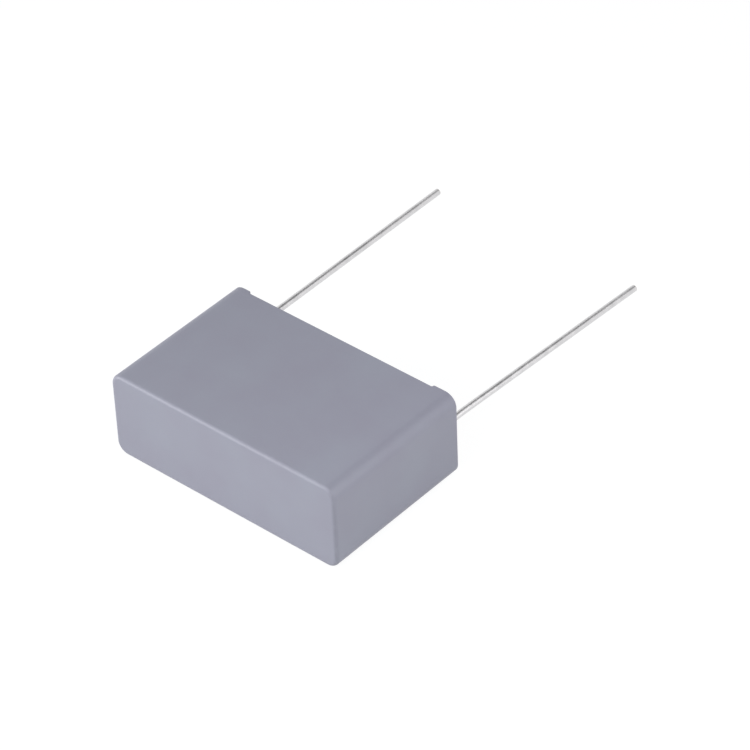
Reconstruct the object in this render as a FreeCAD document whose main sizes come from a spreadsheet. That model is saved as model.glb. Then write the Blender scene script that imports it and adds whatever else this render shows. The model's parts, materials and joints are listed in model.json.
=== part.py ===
import FreeCAD, Part
import math
import os

import Sketcher

# Box film capacitor, lying on one large face with its leads level.
# X runs along the case, +Y toward the open end and the leads, +Z up.
# The origin is the middle of the large face that the case lies on.
# Lengths are in millimetres, angles in degrees.

DRIVING_SIZES = (
    ("case_length", 32.0, "Outside of the case along X"),
    ("case_thickness", 11.0, "Outside of the case along Z"),
    ("case_height", 20.0, "Closed end to the seat on the board, along Y"),
    ("standoff_height", 0.3, "How far the long rims stay back from the seat"),
    ("left_foot_run", 2.5, "Full-height stretch of the long rims at the left"),
    ("right_foot_run", 3.1, "Full-height stretch of the long rims at the right"),
    ("case_wall", 0.9, "Side wall at the open end"),
    ("case_floor", 1.0, "Wall of the closed end"),
    ("cavity_draft", 0.5, "Draft of the cavity"),
    ("corner_radius", 1.5, "Outer edges along Y"),
    ("closed_edge_radius", 0.45, "Outer edges round the closed end"),
    ("cavity_corner_radius", 0.7, "Inner edges along Y"),
    ("cavity_floor_radius", 0.3, "Inner edges round the floor of the cavity"),
    ("resin_recess", 0.7, "Resin surface below the long rims"),
    ("meniscus_rise", 0.35, "Climb of the resin at walls and leads"),
    ("meniscus_radius", 0.3, "Hollow round at the foot of that climb"),
    ("meniscus_lip", 0.06, "Width of the resin's edge at walls and leads"),
    ("lead_pitch", 27.5, "Between the axes of the leads where they leave the resin"),
    ("lead_diameter", 0.8, "Tinned wire"),
    ("left_lead_reach", 32.6, "Left lead beyond the seat, along Y"),
    ("right_lead_reach", 32.2, "Right lead beyond the seat, along Y"),
    ("left_lead_lean", 0.3, "Outward lean of the left lead"),
    ("right_lead_lean", 2.7, "Outward lean of the right lead"),
    ("lead_bend_radius", 120.0, "Axis radius of the gentle bend into the lean"),
    ("lead_bend_depth", 0.6, "Start of that bend below the seat"),
    ("lead_tip_break", 0.06, "Edge break at the cut end of a lead"),
    ("weld_depth", 0.15, "How deep a lead is sunk into the sprayed metal"),
    ("weld_end_gap", 1.6, "Inner end of a lead from the edge of the winding"),
    ("spray_thickness", 0.6, "Sprayed end metal"),
    ("spray_edge_radius", 0.2, "Rounding that the bevel of the sprayed metal's outer edge follows"),
    ("winding_side_gap", 0.5, "Resin between the wrapped winding and the wall"),
    ("winding_floor_gap", 0.6, "Resin between the wrapped winding and the floor"),
    ("winding_cover", 1.3, "Resin over the wrapped winding"),
    ("cover_film_thickness", 0.15, "Plain film wrapped round the winding"),
)

# Places and lengths that several pieces share.
SEAT_Y = "(Sizes.case_height / 2)"
CLOSED_Y = "(-Sizes.case_height / 2)"
MID_Z = "(Sizes.case_thickness / 2)"
CAVITY_FLOOR_Y = f"({CLOSED_Y} + Sizes.case_floor)"
CAVITY_DEPTH = f"({SEAT_Y} - {CAVITY_FLOOR_Y})"
CAVITY_TAPER = "(-Sizes.cavity_draft)"
CAVITY_LENGTH = "(Sizes.case_length - 2 * Sizes.case_wall)"
CAVITY_THICKNESS = "(Sizes.case_thickness - 2 * Sizes.case_wall)"
RESIN_DEPTH = "(Sizes.standoff_height + Sizes.resin_recess)"
RESIN_Y = f"({SEAT_Y} - {RESIN_DEPTH})"
ELEMENT_THICKNESS = f"({CAVITY_THICKNESS} - 2 * Sizes.winding_side_gap)"
ELEMENT_FOOT_Y = f"({CAVITY_FLOOR_Y} + Sizes.winding_floor_gap)"
ELEMENT_HEAD_Y = f"({RESIN_Y} - Sizes.winding_cover)"
ELEMENT_HEIGHT = f"({ELEMENT_HEAD_Y} - {ELEMENT_FOOT_Y})"
ELEMENT_MID_Y = f"(({ELEMENT_HEAD_Y} + {ELEMENT_FOOT_Y}) / 2)"
FILM_THICKNESS = f"({ELEMENT_THICKNESS} - 2 * Sizes.cover_film_thickness)"
FILM_HEIGHT = f"({ELEMENT_HEIGHT} - 2 * Sizes.cover_film_thickness)"
LEAD_X = "(Sizes.lead_pitch / 2)"
SPRAY_FACE_X = f"({LEAD_X} - Sizes.lead_diameter / 2 + Sizes.weld_depth)"
FILM_EDGE_X = f"({SPRAY_FACE_X} - Sizes.spray_thickness)"
LEAD_FOOT_Y = f"({ELEMENT_FOOT_Y} + Sizes.weld_end_gap)"
BEND_Y = f"({SEAT_Y} - Sizes.lead_bend_depth)"
# A bevel this wide touches the rounding it follows at the middle.
SPRAY_BEVEL = "(Sizes.spray_edge_radius * (2 - sqrt(2)))"

# The sides of the part, as the sign of X there.
SIDES = {"left": -1, "right": 1}
RIGHT_ANGLE = 90.0
HALF_TURN = 180.0
PLANE_TOLERANCE = 1e-3

doc = FreeCAD.newDocument("BoxFilmCapacitor")
sizes = doc.addObject("Spreadsheet::Sheet", "Sizes")
for row, (alias, value, note) in enumerate(DRIVING_SIZES, start=1):
    sizes.set(f"A{row}", note)
    sizes.set(f"B{row}", str(value))
    sizes.setAlias(f"B{row}", alias)
doc.recompute()


def worked_out(expression):
    """Gives the number that an expression in the sheet's sizes comes to."""
    result = sizes.evalExpression(expression)
    return float(getattr(result, "Value", result))


def point(x, y):
    """A point in the plane of a sketch."""
    return FreeCAD.Vector(x, y, 0)


def circle(x, y, radius):
    """A circle in the plane of a sketch."""
    return Part.Circle(point(x, y), FreeCAD.Vector(0, 0, 1), radius)


def arc(x, y, radius, start, end):
    """An arc in the plane of a sketch, from a start angle to an end angle, counter-clockwise."""
    return Part.ArcOfCircle(circle(x, y, radius), math.radians(start), math.radians(end))


def new_body(label):
    """Adds an empty body whose label names the piece."""
    body = doc.addObject("PartDesign::Body", label)
    body.Label = label
    return body


def new_sketch(body, name, plane_role, x, y, z):
    """Adds a sketch on an origin plane of the body, moved by x, y and z in that plane's own frame."""
    sketch = body.newObject("Sketcher::SketchObject", name)
    plane = next(p for p in body.Origin.OriginFeatures if p.Role == plane_role)
    sketch.AttachmentSupport = [(plane, "")]
    sketch.MapMode = "FlatFace"
    for axis, place in (("x", x), ("y", y), ("z", z)):
        sketch.setExpression(f"AttachmentOffset.Base.{axis}", place)
    return sketch


def cross_sketch(body, name, y, x="0"):
    """Adds a sketch across the leads' direction, at mid-thickness. It runs along X and Z."""
    return new_sketch(body, name, "XZ_Plane", x, MID_Z, f"-({y})")


def side_sketch(body, name, x):
    """Adds a sketch across the case's length, centred on the winding. It runs along Y and Z."""
    return new_sketch(body, name, "YZ_Plane", ELEMENT_MID_Y, MID_Z, x)


def constrain(sketch, name, kind, *where, value):
    """Adds a named dimension and ties it to an expression."""
    index = sketch.addConstraint(Sketcher.Constraint(kind, *where, worked_out(value)))
    sketch.renameConstraint(index, name)
    sketch.setExpression(f"Constraints.{name}", value)


def join_tangent(sketch, loop):
    """Joins each curve's end to the start of the next, without a kink, round a closed loop."""
    for index, curve in enumerate(loop):
        following = loop[(index + 1) % len(loop)]
        sketch.addConstraint(Sketcher.Constraint("Tangent", curve, 2, following, 1))


def add_rounded_rectangle(sketch, width, height, radius):
    """Draws a rectangle with rounded corners, centred on the sketch's origin."""
    round_by = worked_out(radius)
    half_x = worked_out(width) / 2 - round_by
    half_y = worked_out(height) / 2 - round_by
    loop = []
    for turn, (x, y) in enumerate(((1, -1), (1, 1), (-1, 1), (-1, -1))):
        centre = point(x * half_x, y * half_y)
        heading = turn * RIGHT_ANGLE
        rounding = arc(centre.x, centre.y, round_by, heading - RIGHT_ANGLE, heading)
        entry = rounding.StartPoint
        back = 2 * (half_x if turn % 2 == 0 else half_y)
        along = FreeCAD.Vector(math.cos(math.radians(heading)), math.sin(math.radians(heading)), 0)
        loop.append(sketch.addGeometry(Part.LineSegment(entry - along * back, entry)))
        loop.append(sketch.addGeometry(rounding))
    join_tangent(sketch, loop)
    bottom, first_arc, right, second_arc, top, third_arc, left, fourth_arc = loop
    for flat in (bottom, top):
        sketch.addConstraint(Sketcher.Constraint("Horizontal", flat))
    for upright in (right, left):
        sketch.addConstraint(Sketcher.Constraint("Vertical", upright))
    for other in (second_arc, third_arc, fourth_arc):
        sketch.addConstraint(Sketcher.Constraint("Equal", first_arc, other))
    sketch.addConstraint(Sketcher.Constraint("Symmetric", first_arc, 3, third_arc, 3, -1, 1))
    constrain(sketch, "width", "DistanceX", left, 1, right, 1, value=width)
    constrain(sketch, "height", "DistanceY", bottom, 1, top, 1, value=height)
    constrain(sketch, "corner", "Radius", first_arc, value=radius)


def add_rectangle(sketch, width, height):
    """Draws a plain rectangle, centred on the sketch's origin."""
    half_x, half_y = worked_out(width) / 2, worked_out(height) / 2
    corners = [point(x * half_x, y * half_y) for x, y in ((-1, -1), (1, -1), (1, 1), (-1, 1))]
    lines = [
        sketch.addGeometry(Part.LineSegment(corner, corners[(index + 1) % len(corners)]))
        for index, corner in enumerate(corners)
    ]
    for index, line in enumerate(lines):
        following = lines[(index + 1) % len(lines)]
        sketch.addConstraint(Sketcher.Constraint("Coincident", line, 2, following, 1))
        sketch.addConstraint(Sketcher.Constraint("Vertical" if index % 2 else "Horizontal", line))
    bottom, right, top, left = lines
    sketch.addConstraint(Sketcher.Constraint("Symmetric", bottom, 1, top, 1, -1, 1))
    constrain(sketch, "width", "DistanceX", bottom, 1, bottom, 2, value=width)
    constrain(sketch, "height", "DistanceY", right, 1, right, 2, value=height)


def add_stadium(sketch, length, thickness, name):
    """Draws the section of a flat-pressed roll, two straights and two half rounds, about the origin."""
    radius = worked_out(thickness) / 2
    reach = worked_out(length) / 2 - radius
    loop = [
        sketch.addGeometry(curve)
        for curve in (
            Part.LineSegment(point(-reach, -radius), point(reach, -radius)),
            arc(reach, 0, radius, -RIGHT_ANGLE, RIGHT_ANGLE),
            Part.LineSegment(point(reach, radius), point(-reach, radius)),
            arc(-reach, 0, radius, RIGHT_ANGLE, HALF_TURN + RIGHT_ANGLE),
        )
    ]
    join_tangent(sketch, loop)
    lower, near_round, upper, far_round = loop
    sketch.addConstraint(Sketcher.Constraint("Horizontal", lower))
    sketch.addConstraint(Sketcher.Constraint("Symmetric", near_round, 3, far_round, 3, -1, 1))
    constrain(sketch, f"{name}_round", "Radius", near_round, value=f"{thickness} / 2")
    reach_value = f"{length} - {thickness}"
    constrain(sketch, f"{name}_reach", "DistanceX", far_round, 3, near_round, 3, value=reach_value)


def add_centred_circle(sketch, diameter):
    """Draws a circle round the sketch's origin."""
    index = sketch.addGeometry(circle(0, 0, worked_out(diameter) / 2))
    sketch.addConstraint(Sketcher.Constraint("Coincident", index, 3, -1, 1))
    constrain(sketch, "diameter", "Diameter", index, value=diameter)


def add_lead_circles(sketch, diameter):
    """Draws a circle round each lead's axis."""
    lead_x, radius = worked_out(LEAD_X), worked_out(diameter) / 2
    left, right = [sketch.addGeometry(circle(side * lead_x, 0, radius)) for side in SIDES.values()]
    sketch.addConstraint(Sketcher.Constraint("PointOnObject", right, 3, -1))
    sketch.addConstraint(Sketcher.Constraint("Symmetric", left, 3, right, 3, -1, 1))
    sketch.addConstraint(Sketcher.Constraint("Equal", left, right))
    constrain(sketch, "pitch", "DistanceX", left, 3, right, 3, value="Sizes.lead_pitch")
    constrain(sketch, "lead_ring", "Diameter", left, value=diameter)


def raise_pad(body, name, sketch, length, backwards=False, draft=None):
    """Raises a sketch into a solid. Backwards is against the sketch's own normal."""
    pad = body.newObject("PartDesign::Pad", name)
    pad.Profile = sketch
    pad.Reversed = backwards
    pad.setExpression("Length", length)
    if draft:
        pad.setExpression("TaperAngle", draft)
    doc.recompute()
    return pad


def cut_pocket(body, name, sketch, length=None, backwards=False, draft=None):
    """Cuts a sketch into the solid, right through it without a length, and makes sure that some went."""
    before = body.Shape.Volume
    pocket = body.newObject("PartDesign::Pocket", name)
    pocket.Profile = sketch
    pocket.Reversed = backwards
    if length:
        pocket.setExpression("Length", length)
    else:
        pocket.Type = "ThroughAll"
    if draft:
        pocket.setExpression("TaperAngle", draft)
    doc.recompute()
    if not body.Shape.Volume < before:
        raise RuntimeError(f"{name} removes nothing from {body.Label}")
    return pocket


def edges_in_plane(feature, axis, place):
    """Names the edges of a feature that lie wholly in the plane at that place on X, Y or Z."""
    level = worked_out(place)
    names = []
    for index, edge in enumerate(feature.Shape.Edges, start=1):
        box = edge.BoundBox
        reach = (getattr(box, f"{axis}Min"), getattr(box, f"{axis}Max"))
        if all(abs(end - level) < PLANE_TOLERANCE for end in reach):
            names.append(f"Edge{index}")
    return names


def farthest_ring(feature):
    """Names the closed edge of a feature that lies farthest along Y."""
    rings = {
        f"Edge{index}": edge.CenterOfMass.y
        for index, edge in enumerate(feature.Shape.Edges, start=1)
        if edge.isClosed()
    }
    return max(rings, key=rings.get)


def round_edges(body, name, feature, edges, radius):
    """Rounds the named edges of a feature."""
    fillet = body.newObject("PartDesign::Fillet", name)
    fillet.Base = (feature, edges)
    fillet.setExpression("Radius", radius)
    doc.recompute()
    return fillet


def bevel_edges(body, name, feature, edges, size):
    """Bevels the named edges of a feature."""
    chamfer = body.newObject("PartDesign::Chamfer", name)
    chamfer.Base = (feature, edges)
    chamfer.setExpression("Size", size)
    doc.recompute()
    return chamfer


def build_case():
    """Moulded box: rounded block, drafted cavity, closed-end rounding and corner feet at the open end."""
    case = new_body("case")
    outline = cross_sketch(case, "case_outline", CLOSED_Y)
    add_rounded_rectangle(outline, "Sizes.case_length", "Sizes.case_thickness", "Sizes.corner_radius")
    block = raise_pad(case, "case_block", outline, "Sizes.case_height", backwards=True)
    closed_edges = edges_in_plane(block, "Y", CLOSED_Y)
    round_edges(case, "closed_end_rounding", block, closed_edges, "Sizes.closed_edge_radius")

    mouth = cross_sketch(case, "cavity_mouth", SEAT_Y)
    add_rounded_rectangle(mouth, CAVITY_LENGTH, CAVITY_THICKNESS, "Sizes.cavity_corner_radius")
    cavity = cut_pocket(case, "cavity", mouth, CAVITY_DEPTH, backwards=True, draft=CAVITY_TAPER)
    floor_edges = edges_in_plane(cavity, "Y", CAVITY_FLOOR_Y)
    round_edges(case, "cavity_floor_rounding", cavity, floor_edges, "Sizes.cavity_floor_radius")

    foot_runs = "(Sizes.left_foot_run + Sizes.right_foot_run)"
    foot_shift = "((Sizes.left_foot_run - Sizes.right_foot_run) / 2)"
    set_back = new_sketch(
        case, "long_rim_step", "XY_Plane", foot_shift, f"{SEAT_Y} - Sizes.standoff_height / 2", "0"
    )
    add_rectangle(set_back, f"Sizes.case_length - {foot_runs}", "Sizes.standoff_height")
    cut_pocket(case, "long_rims_set_back", set_back, backwards=True)
    return case


def build_winding():
    """Metallised film wound flat and pressed; its turns are one solid."""
    winding = new_body("film_winding")
    section = side_sketch(winding, "winding_section", f"-{FILM_EDGE_X}")
    add_stadium(section, FILM_HEIGHT, FILM_THICKNESS, "film")
    raise_pad(winding, "winding_roll", section, f"2 * {FILM_EDGE_X}")
    return winding


def build_cover_film():
    """Plain film that holds the winding together."""
    cover = new_body("cover_film")
    section = side_sketch(cover, "cover_section", f"-{FILM_EDGE_X}")
    add_stadium(section, ELEMENT_HEIGHT, ELEMENT_THICKNESS, "outside")
    add_stadium(section, FILM_HEIGHT, FILM_THICKNESS, "inside")
    raise_pad(cover, "cover_wrap", section, f"2 * {FILM_EDGE_X}")
    return cover


def build_spray(side_name):
    """Metal sprayed on one end of the winding, with the groove that its lead is welded into."""
    side = SIDES[side_name]
    spray = new_body(f"end_spray_{side_name}")
    section = side_sketch(spray, f"spray_section_{side_name}", f"{side} * {FILM_EDGE_X}")
    add_stadium(section, ELEMENT_HEIGHT, ELEMENT_THICKNESS, "spray")
    thickness = "Sizes.spray_thickness"
    layer = raise_pad(spray, f"spray_layer_{side_name}", section, thickness, backwards=side < 0)
    outer_edges = edges_in_plane(layer, "X", f"{side} * {SPRAY_FACE_X}")
    bevel_edges(spray, f"spray_bevel_{side_name}", layer, outer_edges, SPRAY_BEVEL)
    groove = cross_sketch(spray, f"weld_section_{side_name}", LEAD_FOOT_Y, x=f"{side} * {LEAD_X}")
    add_centred_circle(groove, "Sizes.lead_diameter")
    cut_pocket(spray, f"weld_groove_{side_name}", groove)
    return spray


def build_lead(side_name):
    """Tinned wire: straight up the sprayed end and out of the resin, then leaning slightly outward."""
    side = SIDES[side_name]
    lean = f"Sizes.{side_name}_lead_lean"
    reach = f"(Sizes.lead_bend_depth + Sizes.{side_name}_lead_reach)"
    lead = new_body(f"lead_{side_name}")
    section = cross_sketch(lead, f"lead_section_{side_name}", LEAD_FOOT_Y, x=f"{side} * {LEAD_X}")
    add_centred_circle(section, "Sizes.lead_diameter")

    # The route's own origin is where the bend starts, and its own x points outward.
    route = new_sketch(lead, f"lead_route_{side_name}", "XY_Plane", f"{side} * {LEAD_X}", BEND_Y, MID_Z)
    if side < 0:
        route.setExpression("AttachmentOffset.Rotation.Axis.y", "1")
        route.setExpression("AttachmentOffset.Rotation.Axis.z", "0")
        route.setExpression("AttachmentOffset.Rotation.Angle", str(HALF_TURN))
    straight = worked_out(f"{BEND_Y} - {LEAD_FOOT_Y}")
    radius = worked_out("Sizes.lead_bend_radius")
    angle = worked_out(lean)
    bend = arc(radius, 0, radius, HALF_TURN - angle, HALF_TURN)
    bend_end = bend.StartPoint
    rise = worked_out(reach) - bend_end.y
    tip = bend_end + FreeCAD.Vector(rise * math.tan(math.radians(angle)), rise, 0)
    lower = route.addGeometry(Part.LineSegment(point(0, -straight), point(0, 0)))
    turn = route.addGeometry(bend)
    upper = route.addGeometry(Part.LineSegment(bend_end, tip))
    route.addConstraint(Sketcher.Constraint("Coincident", lower, 2, -1, 1))
    route.addConstraint(Sketcher.Constraint("Vertical", lower))
    route.addConstraint(Sketcher.Constraint("Tangent", lower, 2, turn, 2))
    route.addConstraint(Sketcher.Constraint("Tangent", turn, 1, upper, 1))
    constrain(route, "straight", "DistanceY", lower, 1, lower, 2, value=f"{BEND_Y} - {LEAD_FOOT_Y}")
    constrain(route, "bend", "Radius", turn, value="Sizes.lead_bend_radius")
    constrain(route, "reach", "DistanceY", -1, 1, upper, 2, value=reach)
    index = route.addConstraint(
        Sketcher.Constraint("Angle", -1, 1, upper, 1, math.radians(RIGHT_ANGLE - angle))
    )
    route.renameConstraint(index, "lean")
    route.setExpression("Constraints.lean", f"{RIGHT_ANGLE} - {lean}")
    doc.recompute()

    wire = lead.newObject("PartDesign::AdditivePipe", f"lead_wire_{side_name}")
    wire.Profile = section
    wire.Spine = route
    doc.recompute()
    bevel_edges(lead, f"lead_tip_{side_name}", wire, [farthest_ring(wire)], "Sizes.lead_tip_break")
    return lead


def build_resin(pieces):
    """Cast resin that fills the case round the element and climbs a little at the walls and leads."""
    fill = new_body("resin_fill")
    mouth = cross_sketch(fill, "resin_mouth", SEAT_Y)
    add_rounded_rectangle(mouth, CAVITY_LENGTH, CAVITY_THICKNESS, "Sizes.cavity_corner_radius")
    block = raise_pad(fill, "resin_block", mouth, CAVITY_DEPTH, draft=CAVITY_TAPER)
    floor_edges = edges_in_plane(block, "Y", CAVITY_FLOOR_Y)
    round_edges(fill, "resin_floor_rounding", block, floor_edges, "Sizes.cavity_floor_radius")

    empty = cross_sketch(fill, "empty_mouth", SEAT_Y)
    add_rectangle(empty, "Sizes.case_length", "Sizes.case_thickness")
    cut_pocket(fill, "empty_top", empty, f"{RESIN_DEPTH} - Sizes.meniscus_rise", backwards=True)

    surface = cross_sketch(fill, "meniscus_outline", f"{RESIN_Y} + Sizes.meniscus_rise")
    add_rounded_rectangle(
        surface,
        f"{CAVITY_LENGTH} - 2 * Sizes.meniscus_lip",
        f"{CAVITY_THICKNESS} - 2 * Sizes.meniscus_lip",
        "Sizes.cavity_corner_radius - Sizes.meniscus_lip",
    )
    add_lead_circles(surface, "Sizes.lead_diameter + 2 * Sizes.meniscus_lip")
    hollow = cut_pocket(fill, "meniscus_hollow", surface, "Sizes.meniscus_rise", backwards=True)
    foot_edges = edges_in_plane(hollow, "Y", RESIN_Y)
    round_edges(fill, "meniscus_rounding", hollow, foot_edges, "Sizes.meniscus_radius")

    element = doc.addObject("Part::MultiFuse", "wound_element")
    element.Shapes = pieces
    resin = doc.addObject("Part::Cut", "potting_resin")
    resin.Label = "potting_resin"
    resin.Base = fill
    resin.Tool = element
    doc.recompute()
    return resin


case = build_case()
element_pieces = [build_winding(), build_cover_film()]
for side_name in SIDES:
    element_pieces.append(build_spray(side_name))
    element_pieces.append(build_lead(side_name))
potting = build_resin(element_pieces)
sub_parts = [case, potting, *element_pieces]

doc.recompute()
for item in doc.Objects:
    if {"Invalid", "Error"} & set(item.State):
        raise RuntimeError(f"{item.Label} failed: {item.State}")
for sub_part in sub_parts:
    if sub_part.Shape.isNull() or not sub_part.Shape.isValid():
        raise RuntimeError(f"{sub_part.Label} has no valid shape")

os.makedirs("parts", exist_ok=True)
for sub_part in sub_parts:
    sub_part.Shape.exportStep(f"parts/{sub_part.Label}.step")
    print(sub_part.Label, len(sub_part.Shape.Solids), "solid,", round(sub_part.Shape.Volume, 2), "mm3")
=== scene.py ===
"""Box film capacitor: moulded case, cast resin, tinned leads and the wound element inside.

Everything is in metres, in the part's own frame: X along the case, +Y towards the open end and
the leads, +Z up from the large face that the part lies on.
"""
import json
import logging
import math
from dataclasses import dataclass
from enum import Enum

import bmesh
import bpy
from mathutils import Matrix, Quaternion, Vector, geometry


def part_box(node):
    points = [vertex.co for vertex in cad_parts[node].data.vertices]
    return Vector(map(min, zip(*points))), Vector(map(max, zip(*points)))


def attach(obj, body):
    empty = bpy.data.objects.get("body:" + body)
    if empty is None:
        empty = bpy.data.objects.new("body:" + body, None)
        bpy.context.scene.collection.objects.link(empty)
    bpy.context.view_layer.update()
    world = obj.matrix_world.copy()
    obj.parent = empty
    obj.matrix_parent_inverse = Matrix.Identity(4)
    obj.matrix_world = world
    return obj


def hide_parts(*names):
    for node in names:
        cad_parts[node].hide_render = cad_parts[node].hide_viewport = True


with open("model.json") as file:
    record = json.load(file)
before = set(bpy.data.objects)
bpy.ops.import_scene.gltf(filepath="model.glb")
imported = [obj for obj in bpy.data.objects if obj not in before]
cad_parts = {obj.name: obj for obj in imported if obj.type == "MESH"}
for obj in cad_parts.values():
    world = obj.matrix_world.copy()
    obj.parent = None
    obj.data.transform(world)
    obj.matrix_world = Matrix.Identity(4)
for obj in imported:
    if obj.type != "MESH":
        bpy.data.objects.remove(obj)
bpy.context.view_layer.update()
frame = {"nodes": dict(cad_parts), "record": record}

LOG = logging.getLogger("box_film_capacitor")

Socket = bpy.types.NodeSocket
Pair = tuple[float, float]
Colour = tuple[float, float, float]
Outline = list[tuple[Pair, float]]

MM = 0.001
MICRON = 1e-6
MICRON_DIGITS = 6
LEAN_DIGITS = 2
BODY = "root"
EDGE_ATTRIBUTE = "edge"
OPEN_ATTRIBUTE = "open"
GIRTH_ATTRIBUTE = "girth"
UNIT: Pair = (0.0, 1.0)
FALLING: Pair = (1.0, 0.0)
NOISE_SPAN: Pair = (0.3, 0.7)
SQUARE_CORNERS = ((-1, -1), (1, -1), (1, 1), (-1, 1))

# Places that several pieces share, from the frame


@dataclass(frozen=True)
class NodeBox:
    """The lowest and highest place of a CAD node along each axis, to the nearest micron."""

    x: Pair
    y: Pair
    z: Pair

    @classmethod
    def of(cls, node: str) -> "NodeBox":
        """Reads the places of one node from the frame."""
        ways = zip(*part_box(node))
        return cls(*[(round(low, MICRON_DIGITS), round(high, MICRON_DIGITS)) for low, high in ways])


CASE = NodeBox.of("case")
RESIN = NodeBox.of("potting_resin")
WINDING = NodeBox.of("film_winding")
MOUNTS = {mount["name"]: mount for mount in frame["record"]["mounts"]}
MIDDLE_Z = sum(CASE.z) / 2
LEAD_RADIUS = MOUNTS["lead_right_pin"]["dims"]["r_mm"] * MM
LEAD_X = NodeBox.of("lead_right").x[0] + LEAD_RADIUS


class Side(Enum):
    """The two ends of the case, as the sign of X there."""

    LEFT = -1
    RIGHT = 1


class Seat(Enum):
    """How a ring of the case takes the set-back of the long rims."""

    FIXED = "stays in place"
    STRETCHED = "takes more of it towards the open end"
    RIM = "takes all of it"


class Effect(Enum):
    """The shader effects that several finishes share, by the name of their group."""

    PATCHES = "uneven_patches"
    SPECKS = "scattered_specks"
    STREAKS = "drawn_streaks"
    # On the case this mask lightens the rounded edges, partly as rub wear and partly as a painted
    # highlight. On the wire it marks the bare copper of the cut end.
    RUB = "rubbed_edges"


class Plug(Enum):
    """What a group's socket carries, as its socket type."""

    NUMBER = "NodeSocketFloat"
    COUNT = "NodeSocketInt"
    VECTOR = "NodeSocketVector"
    SHAPE = "NodeSocketGeometry"
    MATERIAL = "NodeSocketMaterial"


class SeenBy(Enum):
    """Rays that show the white background instead of the room's light."""

    CAMERA = "Is Camera Ray"
    GLOSSY = "Is Glossy Ray"
    TRANSMISSION = "Is Transmission Ray"


# Node helpers


class Wiring:
    """Adds nodes to one tree and joins their sockets."""

    def __init__(self, tree: bpy.types.NodeTree) -> None:
        """Starts on an empty or existing tree."""
        self.tree = tree

    def add(self, kind: str, **settings: object) -> bpy.types.Node:
        """Adds a node and sets its properties.

        Args:
            kind: The node's type name.
            **settings: Properties of the node.

        Returns:
            The new node.
        """
        node = self.tree.nodes.new(kind)
        for name, value in settings.items():
            setattr(node, name, value)
        return node

    def feed(self, target: Socket, value: Socket | float | tuple[float, ...]) -> None:
        """Links a socket to an input, or sets the input's own value.

        Args:
            target: The input.
            value: An output socket, or a plain value.
        """
        if isinstance(value, bpy.types.NodeSocket):
            self.tree.links.new(value, target)
        else:
            target.default_value = value

    def maths(self, operation: str, *values: Socket | float, kind: str = "ShaderNodeMath") -> Socket:
        """Works out one operation.

        Args:
            operation: The operation's name.
            *values: Its operands, sockets or numbers.
            kind: The node's type name.

        Returns:
            The result's socket.
        """
        node = self.add(kind, operation=operation)
        for slot, value in zip(node.inputs, values):
            self.feed(slot, value)
        return node.outputs[0]

    def spread(self, value: Socket, source: Pair, target: Pair, smooth: bool = False) -> Socket:
        """Maps one range to another and keeps within it.

        Args:
            value: The number to map.
            source: Its lowest and highest value.
            target: What those become.
            smooth: Whether the way between them is eased.

        Returns:
            The mapped number's socket.
        """
        kind = "SMOOTHSTEP" if smooth else "LINEAR"
        node = self.add("ShaderNodeMapRange", interpolation_type=kind)
        for slot, entry in zip(node.inputs, (value, *source, *target)):
            self.feed(slot, entry)
        return node.outputs[0]

    def noise(
        self,
        size: Socket | float,
        detail: Socket | float = 2.0,
        vector: Socket | None = None,
        **settings: object,
    ) -> Socket:
        """Makes a soft random pattern.

        Args:
            size: The size of its patches.
            detail: How many finer layers it has.
            vector: The coordinates that it reads, where they aren't the tree's own.
            **settings: Further properties of the node.

        Returns:
            The pattern's socket.
        """
        node = self.add("ShaderNodeTexNoise", **settings)
        fixed = not isinstance(size, bpy.types.NodeSocket)
        self.feed(node.inputs["Scale"], 1 / size if fixed else self.maths("DIVIDE", 1.0, size))
        self.feed(node.inputs["Detail"], detail)
        if vector is not None:
            self.feed(node.inputs["Vector"], vector)
        return node.outputs[0]

    def weigh(self, first: Socket, second: Socket, share: float) -> Socket:
        """Adds two numbers up by their shares.

        Args:
            first: A number.
            second: Another one.
            share: The share of the second.

        Returns:
            The sum's socket.
        """
        parts = (self.maths("MULTIPLY", first, 1 - share), self.maths("MULTIPLY", second, share))
        return self.maths("ADD", *parts)

    def blend(self, factor: Socket, first: Socket | Colour, second: Socket | Colour) -> Socket:
        """Mixes two colours.

        Args:
            factor: Share of the second colour.
            first: A colour or its socket.
            second: A colour or its socket.

        Returns:
            The mixed colour's socket.
        """
        node = self.add("ShaderNodeMix", data_type="RGBA")
        self.feed(node.inputs["Factor"], factor)
        slots = [slot for slot in node.inputs if slot.type == "RGBA"]
        for slot, colour in zip(slots, (first, second)):
            self.feed(slot, colour if isinstance(colour, bpy.types.NodeSocket) else (*colour, 1.0))
        return next(slot for slot in node.outputs if slot.type == "RGBA")

    def mix_shaders(self, factor: Socket | float, first: Socket, second: Socket) -> Socket:
        """Mixes two shaders.

        Args:
            factor: Share of the second shader.
            first: A shader's socket.
            second: Another one.

        Returns:
            The mixed shader's socket.
        """
        node = self.add("ShaderNodeMixShader")
        for slot, value in zip(node.inputs, (factor, first, second)):
            self.feed(slot, value)
        return node.outputs[0]

    def background_rays(self) -> Socket:
        """Tells the rays that show the background.

        Returns:
            A socket that is 1 for those rays.
        """
        path = self.add("ShaderNodeLightPath")
        found, *others = [path.outputs[ray.value] for ray in SeenBy]
        for flag in others:
            found = self.maths("MAXIMUM", found, flag)
        return found


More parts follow.
